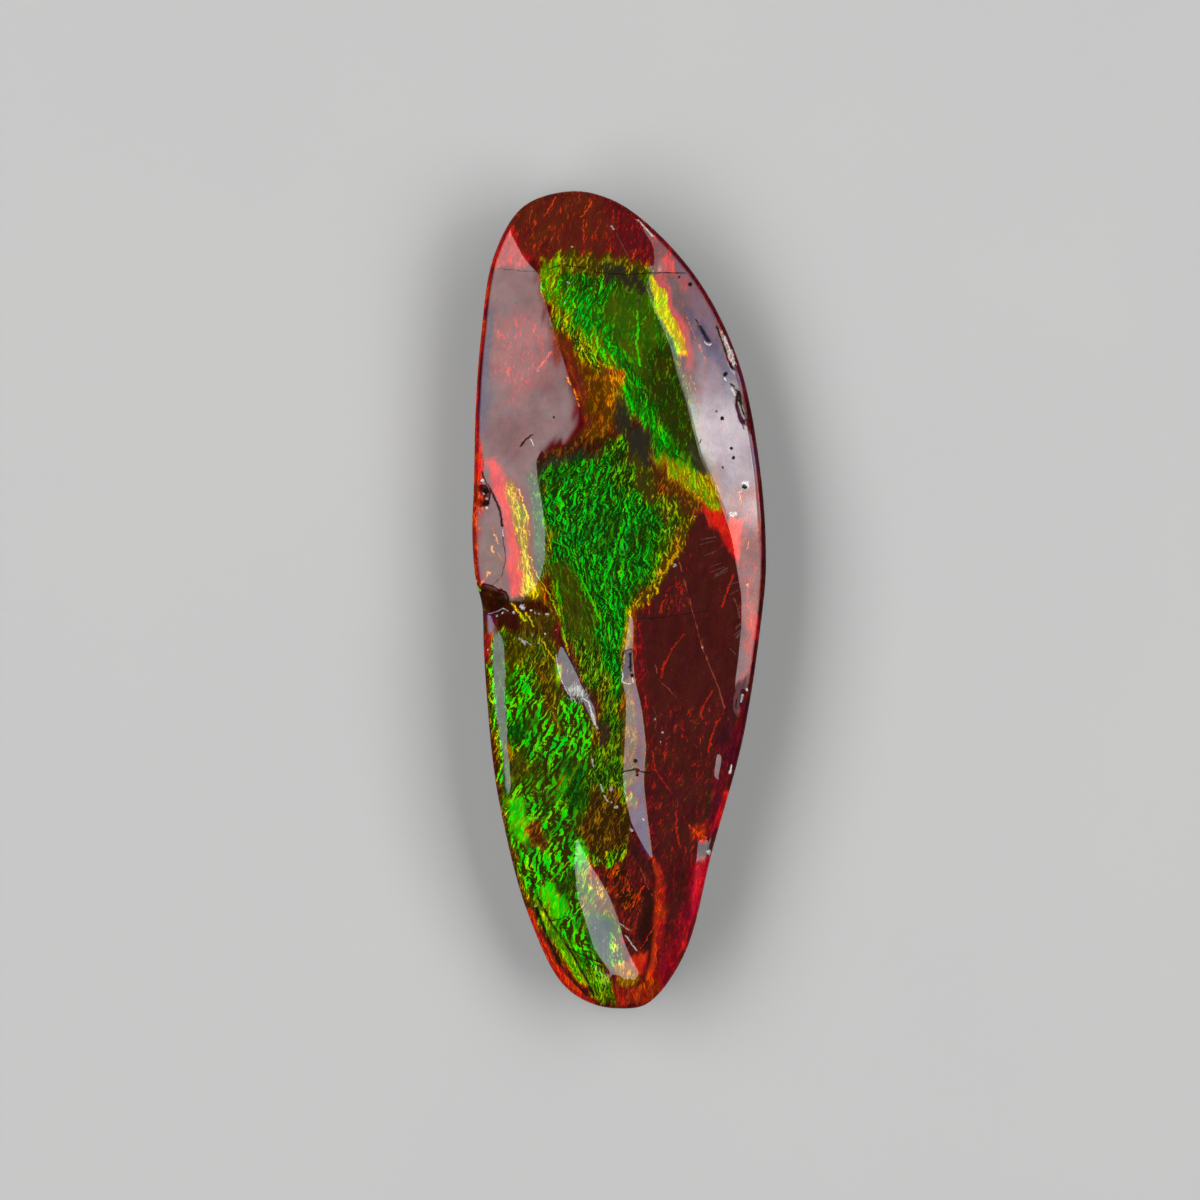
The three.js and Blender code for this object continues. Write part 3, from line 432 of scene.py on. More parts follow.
    ("grey wedge under the step", 0.19, 0.1, 0.6, 0.3, {"slate": 0.3},
     "0.8,-14.3 1.9,-15.7 2,-16.6 1.1,-15.5 0.7,-14.9"),
    ("tip", 0.26, 1.1, 0.9, 0.4, {"sheen": 0.2, "crumple": 0.5},
     "-0.4,-23.1 0.7,-23.3 2,-22.4 2.7,-23 1.9,-24.2 -0.1,-24.6"),
    ("green hem of the narrow end", 0.62, 1.6, 0.7, 0.3, {"sheen": 0.15, "crumple": 0.5},
     "-5,-18 -4.3,-18.1 -3.4,-19.9 -1.7,-22.6 -0.4,-24.2 -1.1,-24.2 -2.9,-22.3 -4.3,-20.1"),
    ("chipped left edge", 0.26, 1.1, 0.8, 0.3, {"sheen": 0.2, "gloss": 0.5},
     "-9.8,7.1 -8.3,7.1 -8.1,5.7 -8.3,4.2 -8.5,2.4 -8.3,0.6 -9.8,0"),
    ("loose chip", 0.3, 0.6, 0.7, 0.4, {"sheen": 0.03, "sparse": 0.6},
     "-8.3,5 -7.4,4.8 -7,3.3 -6.9,0.9 -7.7,0.5 -8.3,2.4"),
    # painted shade: the recess under the left panel is coloured dark brown
    ("recess under the left panel", 0.34, 0.05, 0.4, 0.3, {},
     "-8.9,0.6 -8.2,0.8 -7.4,0.5 -5.9,0.1 -4.1,-0.2 -4.3,-0.8 -5.7,-0.7 -7.3,-0.7 -8.3,-0.4 -8.9,-0.5"),
    ("pale lump on the ledge", 0.03, 0.1, 1, 0.25, {"sheen": 0.1},
     "-8,-0.7 -7.4,-0.6 -7.3,-1.3 -7.6,-2 -7.9,-1.7"),
    ("lower plateau", 0.21, 0.3, 0.85, 1.5, {"sheen": 0.01},
     "2.5,-7.2 6.4,-8.1 5.2,-12 4.4,-15 3.9,-18 3.2,-20.1 2.6,-18 2.1,-15 1.9,-10.8"),
    ("right flank", 0.16, 0.2, 0.8, 0.4, {"sheen": 0.02},
     "6.5,-5.5 8.8,-3.6 8.8,-7.2 7.3,-12 6.2,-15 5.6,-16.8 4.9,-18.3 5.2,-15 5.6,-11.4 5.9,-8.4"),
    ("upper step", 0.3, 0.4, 0.7, 0.2, {"sheen": 0.12}, "0.5,-0.4 1.1,-0.6 1,-3 1,-4.6 0.2,-4.6 0.2,-3"),
    ("yellow edge of the step", 0.52, 1, 0.7, 0.2, {"sheen": 0.2},
     "0.5,-0.4 0.8,-0.5 0.7,-2.4 0.5,-3 0.2,-3.1 0.2,-2.4"),
    ("middle step", 0.45, 0.4, 0.6, 0.35, {"sheen": 0.05, "slate": 0.1},
     "0.1,-4.6 1,-4.6 1.1,-5.9 1.6,-8.7 1.6,-10.9 0.4,-11 0.2,-8.4"),
    # partly painted reflection: the short bevel is slate with some chalk, and the chalk also lightens its
    # reflection of the lamp
    ("short bevel", 0.03, 0.2, 0.5, 0.15, {"sheen": 0.05, "slate": 0.6, "pale": 0.22},
     "-3.5,-2.7 -3.8,-3.7 -3.6,-4.9 -3,-5.9 -2.2,-6.2 -1.3,-7.9 -1.3,-6.3 -1.9,-5.4 -2.5,-4.3 -3,-3.2"),
    ("lower left edge", 0.67, 0.25, 0.6, 0.12, {"slate": 0.35},
     "-7.5,-2 -6.9,-2.4 -6.9,-4.8 -6.8,-6.6 -6.7,-8.1 -6.5,-9.3 -6.3,-11.4 -6.8,-11.5 -7,-9 -7.2,-7.2 "
     "-7.4,-5.4"),
    # painted shade: the right rim is kept dark, as a side that faces away from the lamps
    ("painted shade on the right rim", 0.19, 0.15, 0.55, 0.12, {"gloss": 0.05},
     "7.5,12.2 7.6,11.4 7.6,10.5 7.8,10.1 8,9.6 8.2,9 8.3,8.4 8.4,7.2 8.4,6.3 8.5,5.4 8.5,2.4 8.5,1.5 "
     "8.4,0.6 8.4,-0.6 8.3,-1.2 8.2,-2.1 8.1,-3 7.9,-3.9 7.8,-4.8 7.6,-5.5 10.3,-5.5 10.3,12.2"),
    ("dull tip of the left flank", 0.61, 1.1, 0.8, 0.3, {"crumple": 0.5, "gloss": 0.1},
     "-2.3,-21.7 -0.9,-22.1 -0.4,-22.9 -0.2,-24.5 -1.7,-24"),
    ("dull band of the right flank", 0.16, 0.5, 0.9, 0.3, {"sheen": 0.12, "gloss": 0.05},
     "4.3,-15.7 5.3,-15.5 5.2,-18 4.4,-20.4 3.9,-20.4"),
    ("chipped end of the right panel", 0.44, 1, 1, 0.15, {"sheen": 0.2, "gloss": 0.1},
     "7.1,-6.2 7.3,-6.3 7.2,-6.8 7,-7 6.8,-7 7,-6.5"),
    # partly painted reflection: this chalk also whitens the foot of the short bevel's reflection of the
    # lamp
    ("chalky foot of the short bevel", 0.67, 0.2, 0.6, 0.4, {"slate": 0.6, "pale": 0.55},
     "-3.4,-5 -2.8,-4.9 -2.2,-5 -1.9,-6 -2.5,-6.2 -3.1,-5.9"),
    ("dark side of the upper green", 0.63, 0.35, 0.75, 0.8, {"sparse": 0.4},
     "1.6,15 3.3,15 4.3,12.5 5,8.9 4.3,8.4 3.4,9.6 2,11.3 1.5,13.2"),
    ("bright foot of the upper green", 0.72, 1.2, 0.8, 0.6, {"sheen": 0.08, "crumple": 0.3},
     "0.2,13.4 0.8,13 1.3,11.5 1.9,11.2 2.5,10.3 3.2,9.6 3.3,8.9 2.5,9 1.4,10.1 0.5,11.1 0.1,12.5"),
    ("slate foot of the upper green", 0.56, 0.05, 0.5, 0.5, {"slate": 0.8},
     "4.2,9.6 4.7,9.2 5,8.3 5.2,7.6 4.7,7.8 4.1,8.5"),
    ("dark triangle by the tip", 0.24, 0.1, 0.45, 0.5, {"sparse": 1},
     "1.4,-17 2,-17.5 2.2,-18.9 2,-20.7 1.6,-21.9 1.3,-20.4 1.3,-18.3"),
    ("red blob by the tip", 0.26, 0.5, 1, 0.3, {"sheen": 0.6}, "0.8,-21.1 1.6,-21.1 1.4,-22.1 0.8,-22.3"),
    ("crimson stroke by the tip", 0.19, 0.8, 1, 0.4, {"sheen": 0.25},
     "2.5,-19.3 2.9,-19.6 2.7,-20.7 2.3,-21.1 2.2,-20.4"),
    ("maroon on the ledge", 0.26, 0.1, 0.45, 0.6, {"sparse": 1, "gloss": 0.1},
     "-7.4,-0.6 -6.4,-0.5 -5.8,-1.3 -6.4,-1.9 -7.3,-1.8"),
    ("dark patch of the middle column", 0.43, 0.1, 0.6, 0.4, {"slate": 0.6},
     "-1.3,-7.1 -0.7,-7.3 -0.7,-8.3 -1.1,-8.8 -1.3,-7.9"),
    ("orange strands of the middle column", 0.44, 1, 0.7, 0.5, {},
     "-1.7,-5.5 -1.3,-5.5 -1.1,-6.7 -1.3,-8.7 -1.6,-8.7 -1.5,-6.9"),
    ("orange band of the lower left field", 0.41, 1.1, 0.8, 0.4, {"crumple": 0.6},
     "-5.6,-13.6 -5,-13.4 -4.3,-14 -4.1,-14.8 -4.9,-14.5 -5.5,-14.2"),
    ("orange chip of the lower left edge", 0.45, 1.1, 0.8, 0.25,
     {"sheen": 0.2, "crumple": 0.4, "gloss": 0.3},
     "-6.8,-8.8 -6.5,-8.9 -6.2,-9.6 -6.5,-9.7 -6.9,-9.1"),
    ("red rim of the lower left edge", 0.21, 0.5, 1, 0.3, {"sheen": 0.1, "gloss": 0.2},
     "-8.5,-1.7 -7.6,-1.9 -7.6,-3.5 -8,-3.7 -8.5,-3.3"),
    ("yellow-green fleck of the short bevel", 0.65, 1, 0.8, 0.25, {"sheen": 0.35},
     "-3.8,-3.7 -3.5,-3.8 -3.4,-4.6 -3.7,-4.9 -3.8,-4.3"),
    ("lower step", 0.01, 0.2, 0.7, 0.25, {"sheen": 0.08, "slate": 0.05},
     "0.8,-4.9 1,-5.2 1.2,-6.4 1.4,-8.7 1.4,-10.8 1.7,-13.8 2,-15.4 1.5,-14.9 0.7,-13.4 0.4,-11.2 "
     "1.1,-10.8 1.1,-8.4"),
    ("green specks of the step", 0.63, 0.9, 0.7, 0.3, {"sheen": 0.05},
     "0.5,-11.4 0.8,-11.3 1.1,-12.1 0.9,-12.6 0.6,-12.2"),
    ("green top of the lower bevel", 0.72, 1, 0.8, 0.3, {"sheen": 0.4},
     "-2.6,-14.5 -2.1,-14.8 -1.9,-15.7 -2.5,-15.8"),
    ("left of the lower bevel", 0.61, 1.1, 0.7, 0.5, {"sheen": 0.06, "crumple": 0.5},
     "-2.6,-15.7 -1.7,-15.8 -1.3,-17.4 -1.6,-18.7 -2.1,-18.4 -2.5,-17.2"),
    ("right of the lower bevel", 0.47, 1, 0.7, 0.5, {"sheen": 0.05},
     "-1.9,-16 -1,-16.7 -0.4,-18 0,-19.6 -1,-19.2 -1.5,-18"),
    ("blue-grey middle of the lower bevel", 0.95, 0.15, 0.8, 0.7,
     {"sheen": 0.1, "slate": 0.4, "pale": 0.25},
     "-2,-18.7 -1.1,-18.7 -0.1,-19.6 0.3,-20.9 -0.3,-22.2 -1.1,-21.5 -1.7,-20.3"),
    ("yellow-green strokes of the lower bevel", 0.6, 1, 0.7, 0.4, {},
     "-0.4,-19.8 0.1,-19.8 0.4,-21.7 -0.1,-22.4 -0.5,-21.7"),
    ("foot of the lower bevel", 0.44, 1.1, 0.8, 0.35, {"sheen": 0.2},
     "-0.3,-21.7 0.8,-21.5 1.3,-22.4 0.9,-23.2 -0.1,-23.1"),
    ("crimson hem", 0.15, 0.8, 1, 0.25, {"sheen": 0.6, "gloss": 0.1},
     "6.4,-11.3 6.7,-11.4 6.4,-12.4 6.2,-13.2 6.1,-13.9 5.6,-13.8 5.8,-12.8 6.2,-12"),
    ("crimson under the fleck", 0.15, 0.8, 1, 0.4, {"sheen": 0.45, "gloss": 0.05},
     "4.9,-15.5 5.8,-15 5.3,-17.1 4.7,-18.5 4.3,-19.6 4.2,-17.5"),
    ("orange head of the fleck", 0.26, 1.2, 1, 0.3, {"sheen": 0.25, "gloss": 0.1},
     "4,-13.4 4.7,-13.3 5.3,-13.7 5.3,-14.3 4.4,-14.3"),
    ("dark band over the fleck", 0.3, 0.2, 0.6, 0.4, {"slate": 0.35, "gloss": 0.3},
     "5.2,-10.6 5.7,-10.7 5.6,-12 5.2,-13.2 4.7,-13.2 5,-11.8"),
    ("violet end of the right panel", 0.16, 0.1, 0.8, 0.4, {"slate": 0.2, "gloss": 0.2},
     "6.8,-5.3 7.2,-4.9 7.7,-4.3 7.7,-5.4 7.3,-6 7.1,-7 6.5,-8.5 5.9,-8.7 6.1,-7.2 6.5,-6"),
    ("red strokes of the plateau", 0.23, 0.9, 1, 0.8, {"sparse": 0.5},
     "3.9,2.9 4.5,2.4 4.3,0 2.9,-1 1.5,-1.1 2.6,0.4"),
    ("red mottles of the plateau", 0.23, 0.7, 1, 1.2, {"sparse": 0.6},
     "2.5,-6 6.1,-6 5.3,-11.4 4.3,-15 2.7,-15 2,-9.6"),
    ("left rim", 0.24, 1.3, 0.9, 0.1, {"sheen": 0.38, "crumple": 0.6, "gloss": 0.1},
     "-9.8,20.3 -7.4,20.3 -7.6,19.8 -7.7,18.9 -7.9,18 -8,16.8 -8.1,15.6 -8.3,14.4 -8.4,13.2 -8.4,12 "
     "-8.4,10.8 -8.3,9.6 -8.1,8.4 -8.2,7 -9.8,7"),
    ("rim of the right panel", 0.17, 0.3, 0.8, 0.12, {"sheen": 0.1, "gloss": 0.1},
     "0.9,23.6 0.9,23.1 1.7,22.4 2.3,21.8 2.9,21.2 3.2,20.7 4.3,20.3 3.7,21.9 1.9,24"),
    ("red hem of the narrow end", 0.24, 1.3, 0.8, 0.2, {"sheen": 0.35, "crumple": 0.6, "gloss": 0.1},
     "-6.5,-18.2 -5.3,-18.5 -4.7,-20.1 -3.8,-21.7 -2.1,-23.6 -1.4,-24.4 -3.5,-24.7 -6.5,-21"),
    ("low border of the left panel", None, None, None, 0.6, {"gloss": 0},
     "-3.2,13.8 -2.8,12.4 -2.5,11.1 -2.6,10.3 -3.2,9.8 -4.3,9.4 -4.9,8.9 -3.5,7.8 -1.1,9 -1.1,13.2"),
    ("fading border of the left panel", None, None, None, 1.1, {"gloss": 0},
     "-5.1,20.3 -4.7,18.9 -4.4,17.3 -3.8,15.1 -3.1,13.2 -2.2,10.9 -2,9.6 -0.5,9.6 0.1,12 -1.7,15 -3.2,18 "
     "-3.8,20.3"),
    ("recess under the left panel", None, None, None, 0.2, {"gloss": 0},
     "-9.2,0.5 -8.1,0.7 -7.5,0.6 -7.1,0.1 -5.8,0 -4.6,1.3 -3.8,1.2 -3.2,-0.4 -3.5,-1.5 -7.1,-0.7 "
     "-8.3,-0.4 -9.2,-0.4"),
    ("edge beside the lower left bevel", None, None, None, 0.12, {"gloss": 0},
     "-9.2,-2 -7.5,-2 -7.5,-5.4 -7.3,-7 -7.1,-8.7 -6.8,-10.5 -6.6,-12.3 -6.8,-13.2 -9.2,-13.2"),
    ("edge beside the green hem", None, None, None, 0.4, {"gloss": 0},
     "-6.8,-15 -5.3,-15.7 -3.4,-18.9 -0.4,-24 -1.1,-25.2 -4.7,-24 -6.8,-18"),
    ("grey wedge of the head", 0.19, 0.1, 0.6, 0.2, {"slate": 0.2, "gloss": 0.5},
     "0.8,-14.3 1.9,-15.7 2,-16.6 1.1,-15.5 0.7,-14.9"),
    ("blue edge of the left panel", 0.01, 0.1, 0.5, 0.5, {"sheen": 0.06, "slate": 0.1, "gloss": 0.92},
     "-7.9,17.3 -7.5,17.3 -7.6,16.2 -7.7,15 -7.7,13.8 -7.7,12 -7.9,10.2 -8.1,9.3 -8.3,10.1 -8.4,12 "
     "-8.3,13.2 -8.1,14.6 -8,16.1"),
    ("blue haze of the right panel", 0, 0.1, 0.6, 0.7, {"sheen": 0.1, "slate": 0.1, "gloss": 0.72},
     "3.8,17.3 4.3,17.1 4.9,16.5 5.6,15.9 6.2,14.9 6.7,13.8 7,13 6.7,11.8 6.4,11.8 6.2,12.6 5.8,13.6 "
     "5.3,14.4 5,15 4.5,15.9 4.1,16.5"),
    ("pink patch by the seam", 0.21, 0.4, 0.8, 0.4, {"sheen": 0.5, "gloss": 0.85},
     "2.5,20.3 3.1,20.5 3.3,19.7 2.6,19.6"),
    ("red patch under the seam", 0.16, 0.4, 0.8, 0.5, {"sheen": 0.35, "gloss": 0.9},
     "3.6,19.4 4.2,19.3 4.1,18.8 3.7,18.7"),
    ("red triangle of the right panel", 0.23, 0.5, 0.9, 0.25, {"sheen": 0.95, "gloss": 0.85},
     "6.5,4.9 7.3,4.8 7.3,4.2 7.2,2.9 7,2.2 6.8,2.8 6.7,3.7"),
    ("pink patch of the right panel", 0.24, 0.5, 0.9, 0.6, {"sheen": 0.4, "gloss": 0.85},
     "8,-0.4 8.3,-0.8 8.3,-1.4 8.1,-2.4 7.9,-3 7.7,-2.4 7.7,-1.7 7.9,-1.1"),
    ("mottled corner by the seam", 0.62, 1, 0.8, 0.3, {"crumple": 0.5, "gloss": 0.3},
     "1.3,19.4 1.9,19.5 1.9,18.5 2.2,17.8 1.9,17.8 1.6,18.4 1.3,18.9"),
    ("pale flake", 0.24, 0.3, 1, 0.1, {"pale": 0.6, "gloss": 0.6},
     "5.9,16.4 6.2,16.2 6.7,15.3 7,14.6 7.2,14 6.8,13.9 6.5,14.6 6.2,15.4"),
    # painted shade: the lower right flank is kept dark red, as a side that faces away from the lamps
    ("painted shade on the lower right flank", 0.21, 0.15, 0.55, 0.3, {"gloss": 0.05},
     "7.6,-5.5 9.1,-4.8 8.2,-8.4 7.7,-10.8 7.3,-12.9 6.7,-15 5.8,-17.4 5.2,-18.9 4.9,-18.3 5.6,-16.2 "
     "6,-14.5 6.1,-13.4 6.4,-12.4 6.7,-11.4 7,-10.3 7.3,-8.9 7.6,-7.3"),
    ("window of the step", 0.03, 0.1, 0.8, 0.08, {"slate": 0.5, "gloss": 0.72},
     "0.2,-3.1 0.8,-2.9 0.8,-4.3 0.5,-4.7 0.2,-4.9 0.2,-4.1"),
    ("grey fleck", 0.14, 0.1, 0.8, 0.12, {"slate": 0.6, "gloss": 0.75},
     "4.7,-14.5 5.6,-14.5 5.6,-15.2 4.7,-15.4"),
    ("edge right of the lower left bevel", None, None, None, 0.1, {"gloss": 0},
     "-6.8,-2.4 -6.8,-5.4 -6.8,-6.9 -6.6,-8.1 -6.5,-9 -6.2,-11.4 -5.2,-12 -5.7,-2.4"),
    ("pink rim of the right panel", 0.14, 0.3, 0.7, 0.1, {"sheen": 0.06, "gloss": 0.95},
     "3.2,20.7 4.3,19.3 5.2,17.9 5.8,16.6 6.2,16.1 7.1,14 7.4,12.8 7.6,12.1 9.1,12.1 7.9,15.6 6.1,18.6 "
     "4.3,21"),
    ("pitted groove", 0.26, 0.1, 0.6, 0.25, {"slate": 0.6, "gloss": 0.9},
     "6.7,13 7.1,12.9 7.5,11.8 7.6,10.8 7.1,11.3 6.8,12.1"),
    ("brown patch of the lower left field", 0.49, 0.6, 0.8, 0.8, {"sparse": 0.3, "crumple": 0.7},
     "-4.2,-4.6 -3.7,-5.4 -3.4,-6.7 -3.4,-7.7 -4.2,-7.2 -4.5,-6"),
    ("dark patch of the lower left field", 0.74, 0.35, 0.7, 0.6, {"crumple": 0.6},
     "-6.8,-7.6 -5.6,-7.5 -5.5,-8.3 -6.1,-8.6 -6.5,-8.5"),
    ("brown hollow of the lower left field", 0.56, 0.5, 0.8, 0.8, {"crumple": 0.7},
     "-6.8,-9.5 -5.7,-9.1 -5,-9.7 -5.1,-10.7 -6.4,-11"),
    ("dark green of the lower left field", 0.7, 0.5, 0.7, 1, {"crumple": 0.6},
     "-3.2,-10.2 -2.3,-10 -1.7,-11.4 -2,-12.7 -2.8,-12.7 -3.5,-11.8"),
    ("dark hollow by the tip", 0.65, 0.35, 0.6, 0.6, {"crumple": 0.4},
     "-3.8,-16.4 -2.8,-16 -2.7,-17 -3.2,-17.9 -3.7,-17.4"),
    ("edge of the lower left field", None, None, None, 0.1, {"gloss": 0},
     "-6.8,-11.2 -6.5,-12.2 -6.1,-13.6 -5.7,-14.9 -5.2,-16.1 -5.3,-18 -7.1,-15.6"),
    ("orange end of the yellow edge", 0.49, 1.4, 1, 0.3, {"sheen": 0.45, "gloss": 0.2},
     "3.1,16.9 3.4,16.8 3.8,15.7 4.1,14.8 3.8,14.6 3.4,15.5"),
    ("dark part of the left panel", None, None, None, 1, {"gloss": 0.84},
     "-4.6,14.6 -3.8,14.4 -3.1,13.2 -2.8,11.9 -3.5,11.5 -4.3,12.2 -4.7,13.4"),
    ("dim corner of the left panel", None, None, None, 1, {"gloss": 0.86},
     "-8.1,10.6 -6.4,10.2 -5.5,9.1 -5.8,7.8 -7.1,8.4 -8.1,9.2"),
    ("right edge", None, None, None, 0.15, {"gloss": 0},
     "7.4,-5.4 7.1,-6.9 6.8,-8.4 6.5,-9.9 6.1,-11.4 5.7,-12.7 5.4,-14.3 5.7,-14.3 5.6,-15.4 5.1,-15.4 "
     "4.9,-16.3 4.3,-18.3 3.4,-20.4 2.5,-22.1 1.3,-23.1 1.3,-25.2 6.1,-24.6 9.7,-14.4 10.3,-5.4"),
    ("yellow flecks of the amber flank", 0.58, 1.7, 0.8, 0.5, {"crumple": 0.86},
     "-4,17.6 -3.4,17 -2.7,16.2 -1.9,15.2 -1,14.2 -1.1,13.6 -1.7,13.9 -2.7,14.9 -3.4,16 -4,16.9"),
    ("dimmer part of the glare", None, None, None, 1.3, {"gloss": 0.8},
     "4.5,13 5.6,13.2 6.7,12.7 7.1,11.8 6.8,11 5.3,11 4.6,11.8"),
    ("dimmer foot of the glare", None, None, None, 1.2, {"gloss": 0.72},
     "5.7,8.3 6.5,8 7.3,7.4 7.7,6.5 7.9,5.3 7.1,5.2 6.5,6.1 5.9,7.1"),
    ("amber edge of the glare", None, None, None, 0.7, {"hue": 0.49, "sheen": 0.2, "gloss": 0.62},
     "4.4,9.2 5,8.6 5.5,7.6 6.2,6.2 6.2,5.8 5.3,6.4 4.7,7.6"),
    ("dusky middle of the left panel", None, None, None, 1.4, {"gloss": 0.86},
     "-6.8,10.6 -5.8,10.7 -5,10 -5,9.2 -6.2,9.1 -6.9,9.7"),
]


def areaFields(hue, glow, shade, others):
    if hue is None:
        return others
    return {**usual, "hue": hue, "glow": glow, "shade": shade, **others}


def paintAreas(x, y, across):
    # the areas' edges wander, and are drawn out into streaks along the fibres
    angle = fibreAngle(x, y)
    streak = roughen(across * stone["streakStretch"], y, "streaks")
    warpX = streak * np.cos(angle) + roughen(x, y, "strayX")
    warpY = streak * np.sin(angle) + roughen(x, y, "strayY")
    painted = {name: np.full(x.shape, float(value)) for name, value in usual.items()}
    for name, hue, glow, shade, soft, others, edge in areas:
        stray = min(1, soft / stone["crispEdge"])
        away = distanceTo(points(edge), x + warpX * stray, y + warpY * stray)
        share = smoothStep(-away, -soft / 2, soft / 2)
        for field, value in areaFields(hue, glow, shade, others).items():
            painted[field] += (value - painted[field]) * share
    return painted


def between(low, high, start, end, at):
    return ((end - at) * low + (at - start) * high) / (end - start)


def roundedOutline(loop, count, steps=40):
    # a closed centripetal spline through the points, as evenly spaced points
    fine = []
    for i in range(len(loop)):
        p = [np.array(loop[(i + k) % len(loop)], float) for k in (-1, 0, 1, 2)]
        t = np.cumsum([0] + [math.sqrt(np.linalg.norm(p[k + 1] - p[k])) for k in range(3)])
        for s in np.linspace(t[1], t[2], steps, endpoint=False):
            a = [between(p[k], p[k + 1], t[k], t[k + 1], s) for k in range(3)]
            b = [between(a[k], a[k + 1], t[k], t[k + 2], s) for k in range(2)]
            fine.append(between(b[0], b[1], t[1], t[2], s))
    fine = np.array(fine + fine[:1])
    length = np.concatenate([[0], np.cumsum(np.linalg.norm(np.diff(fine, axis=0), axis=1))])
    at = np.linspace(0, length[-1], count, endpoint=False)
    return np.stack([np.interp(at, length, fine[:, 0]), np.interp(at, length, fine[:, 1])], 1)


def makeRim():
    # the outline as one point for each cell at the edge of the face, counted from corner to corner
    fine = roundedOutline(outline, 4000)
    starts = [int(np.argmin(np.hypot(*(fine - corner).T))) for corner in corners]
    rim = []
    for side, count in enumerate((stone["cellsAlong"], stone["cellsAcross"]) * 2):
        span = (starts[(side + 1) % 4] - starts[side]) % len(fine)
        at = starts[side] + span * np.arange(count) / count
        low = fine[at.astype(int) % len(fine)]
        high = fine[(at.astype(int) + 1) % len(fine)]
        rim.append(low + (high - low) * (at % 1)[:, None])
    return np.concatenate(rim) * stone["trim"]


def inwards(rim):
    along = np.roll(rim, -1, 0) - np.roll(rim, 1, 0)
    along /= np.linalg.norm(along, axis=1)[:, None]
    return np.stack([-along[:, 1], along[:, 0]], 1)


def fillFace(edge, s, t):
    # places inside the face, stretched between the four sides of its edge
    along, across = stone["cellsAlong"], stone["cellsAcross"]
    i, j = np.rint(s * across).astype(int), np.rint(t * along).astype(int)
    west, east = edge[j], edge[2 * along + across - j]
    south, north = edge[along + i], edge[-i]
    s, t = s[:, None], t[:, None]
    blend = (1 - s) * west + s * east + (1 - t) * north + t * south
    blend -= (1 - s) * ((1 - t) * edge[0] + t * edge[along])
    blend -= s * ((1 - t) * edge[2 * along + across] + t * edge[along + across])
    return blend


def deselectAll():
    if bpy.context.object and bpy.context.object.mode != "OBJECT":
        bpy.ops.object.mode_set(mode="OBJECT")
    bpy.ops.object.select_all(action="DESELECT")


def makeSlab():
    # a flat sheet of cells whose edge is drawn down in rings: the net of the stone's skin
    deselectAll()
    bpy.ops.mesh.primitive_grid_add(
        x_subdivisions=stone["cellsAcross"], y_subdivisions=stone["cellsAlong"], size=1
    )
    slab = bpy.context.object
    slab.name = "polishedStone"
    bpy.ops.object.mode_set(mode="EDIT")
    bpy.ops.mesh.select_mode(type="EDGE")
    bpy.ops.mesh.select_all(action="DESELECT")
    bpy.ops.mesh.select_non_manifold()
    for ring in range(stone["rollRings"] + stone["sideRings"] + len(stone["backSteps"])):
        bpy.ops.mesh.extrude_region_move(TRANSFORM_OT_translate={"value": (0, 0, -1)})
    bpy.ops.mesh.edge_face_add()
    bpy.ops.object.mode_set(mode="OBJECT")
    return slab


def netPlaces(slab):
    # for each vertex of the net: its share across and along the sheet, its ring and its rim number
    places = np.zeros(len(slab.data.vertices) * 3)
    slab.data.vertices.foreach_get("co", places)
    places = places.reshape(-1, 3)
    s, t = places[:, 0] + 0.5, 0.5 - places[:, 1]
    ring = np.rint(-places[:, 2]).astype(int)
    along, across = stone["cellsAlong"], stone["cellsAcross"]
    i, j = np.rint(s * across).astype(int), np.rint(t * along).astype(int)
    onEast, onSouth = i == across, j == along
    count = np.where(i == 0, j, np.where(onSouth, along + i, 0))
    count = np.where(onEast & ~onSouth, 2 * along + across - j, count)
    count = np.where((j == 0) & (i > 0), rimCount - i, count)
    return s, t, ring, count % rimCount


# How far the shale under the polished skin is broken back, in mm, and its waves for each mm along
# the side and up it.
shale = {
    "layers": 0.05,
    "layerWaves": (0.5, 3.1),
    "ledges": 0.22,
    "ledgeWaves": (0.18, 1.9),
    "breaks": 0.35,  # along the foot of the side
    "breakWaves": 0.45,
    "fromTuck": 0.25,  # all of it from this share of the tuck on, none at the widest outline
}


def chipping(rim, height, tuck):
    x, y = rim.T
    along, upwards = shale["layerWaves"]
    layers = wander(x * along + height * upwards, y * along, 1, 11.5) + 1
    along, upwards = shale["ledgeWaves"]
    ledges = np.clip(wander(height * upwards, (x + y) * along, 1, 14.5) + 0.1, 0, 1)
    breaks = np.clip(wander(x, y, shale["breakWaves"], 17.5) + 0.25, 0, 1) * tuck
    depth = shale["layers"] * layers + shale["ledges"] * ledges + shale["breaks"] * breaks
    return depth * smoothStep(tuck, 0, shale["fromTuck"])


def shapeSide(ring, high, rim, inward):
    # the side rolls over from the face, bulges to the widest outline and tucks in to the back
    rolls, sides = stone["rollRings"], stone["sideRings"]
    turn = np.clip(ring / rolls, 0, 1) * math.pi / 2
    fall = np.clip((ring - rolls) / sides, 0, 1)
    height = high - stone["rollDrop"] * (1 - np.cos(turn))
    height = np.where(ring > rolls, (high - stone["rollDrop"]) * (1 - fall), height)
    tuck = np.clip(1 - height / (stone["waistShare"] * high), 0, 1)
    inset = stone["faceInset"] * (1 - np.sin(turn))
    inset = np.where(ring > rolls, stone["backInset"] * tuck ** stone["tuckBend"], inset)
    inset += chipping(rim, height, tuck) * (ring > rolls)
    for further, step in enumerate(stone["backSteps"], 1):
        inset = np.where(ring == rolls + sides + further, stone["backInset"] + step, inset)
    return rim + inward * inset[:, None], height


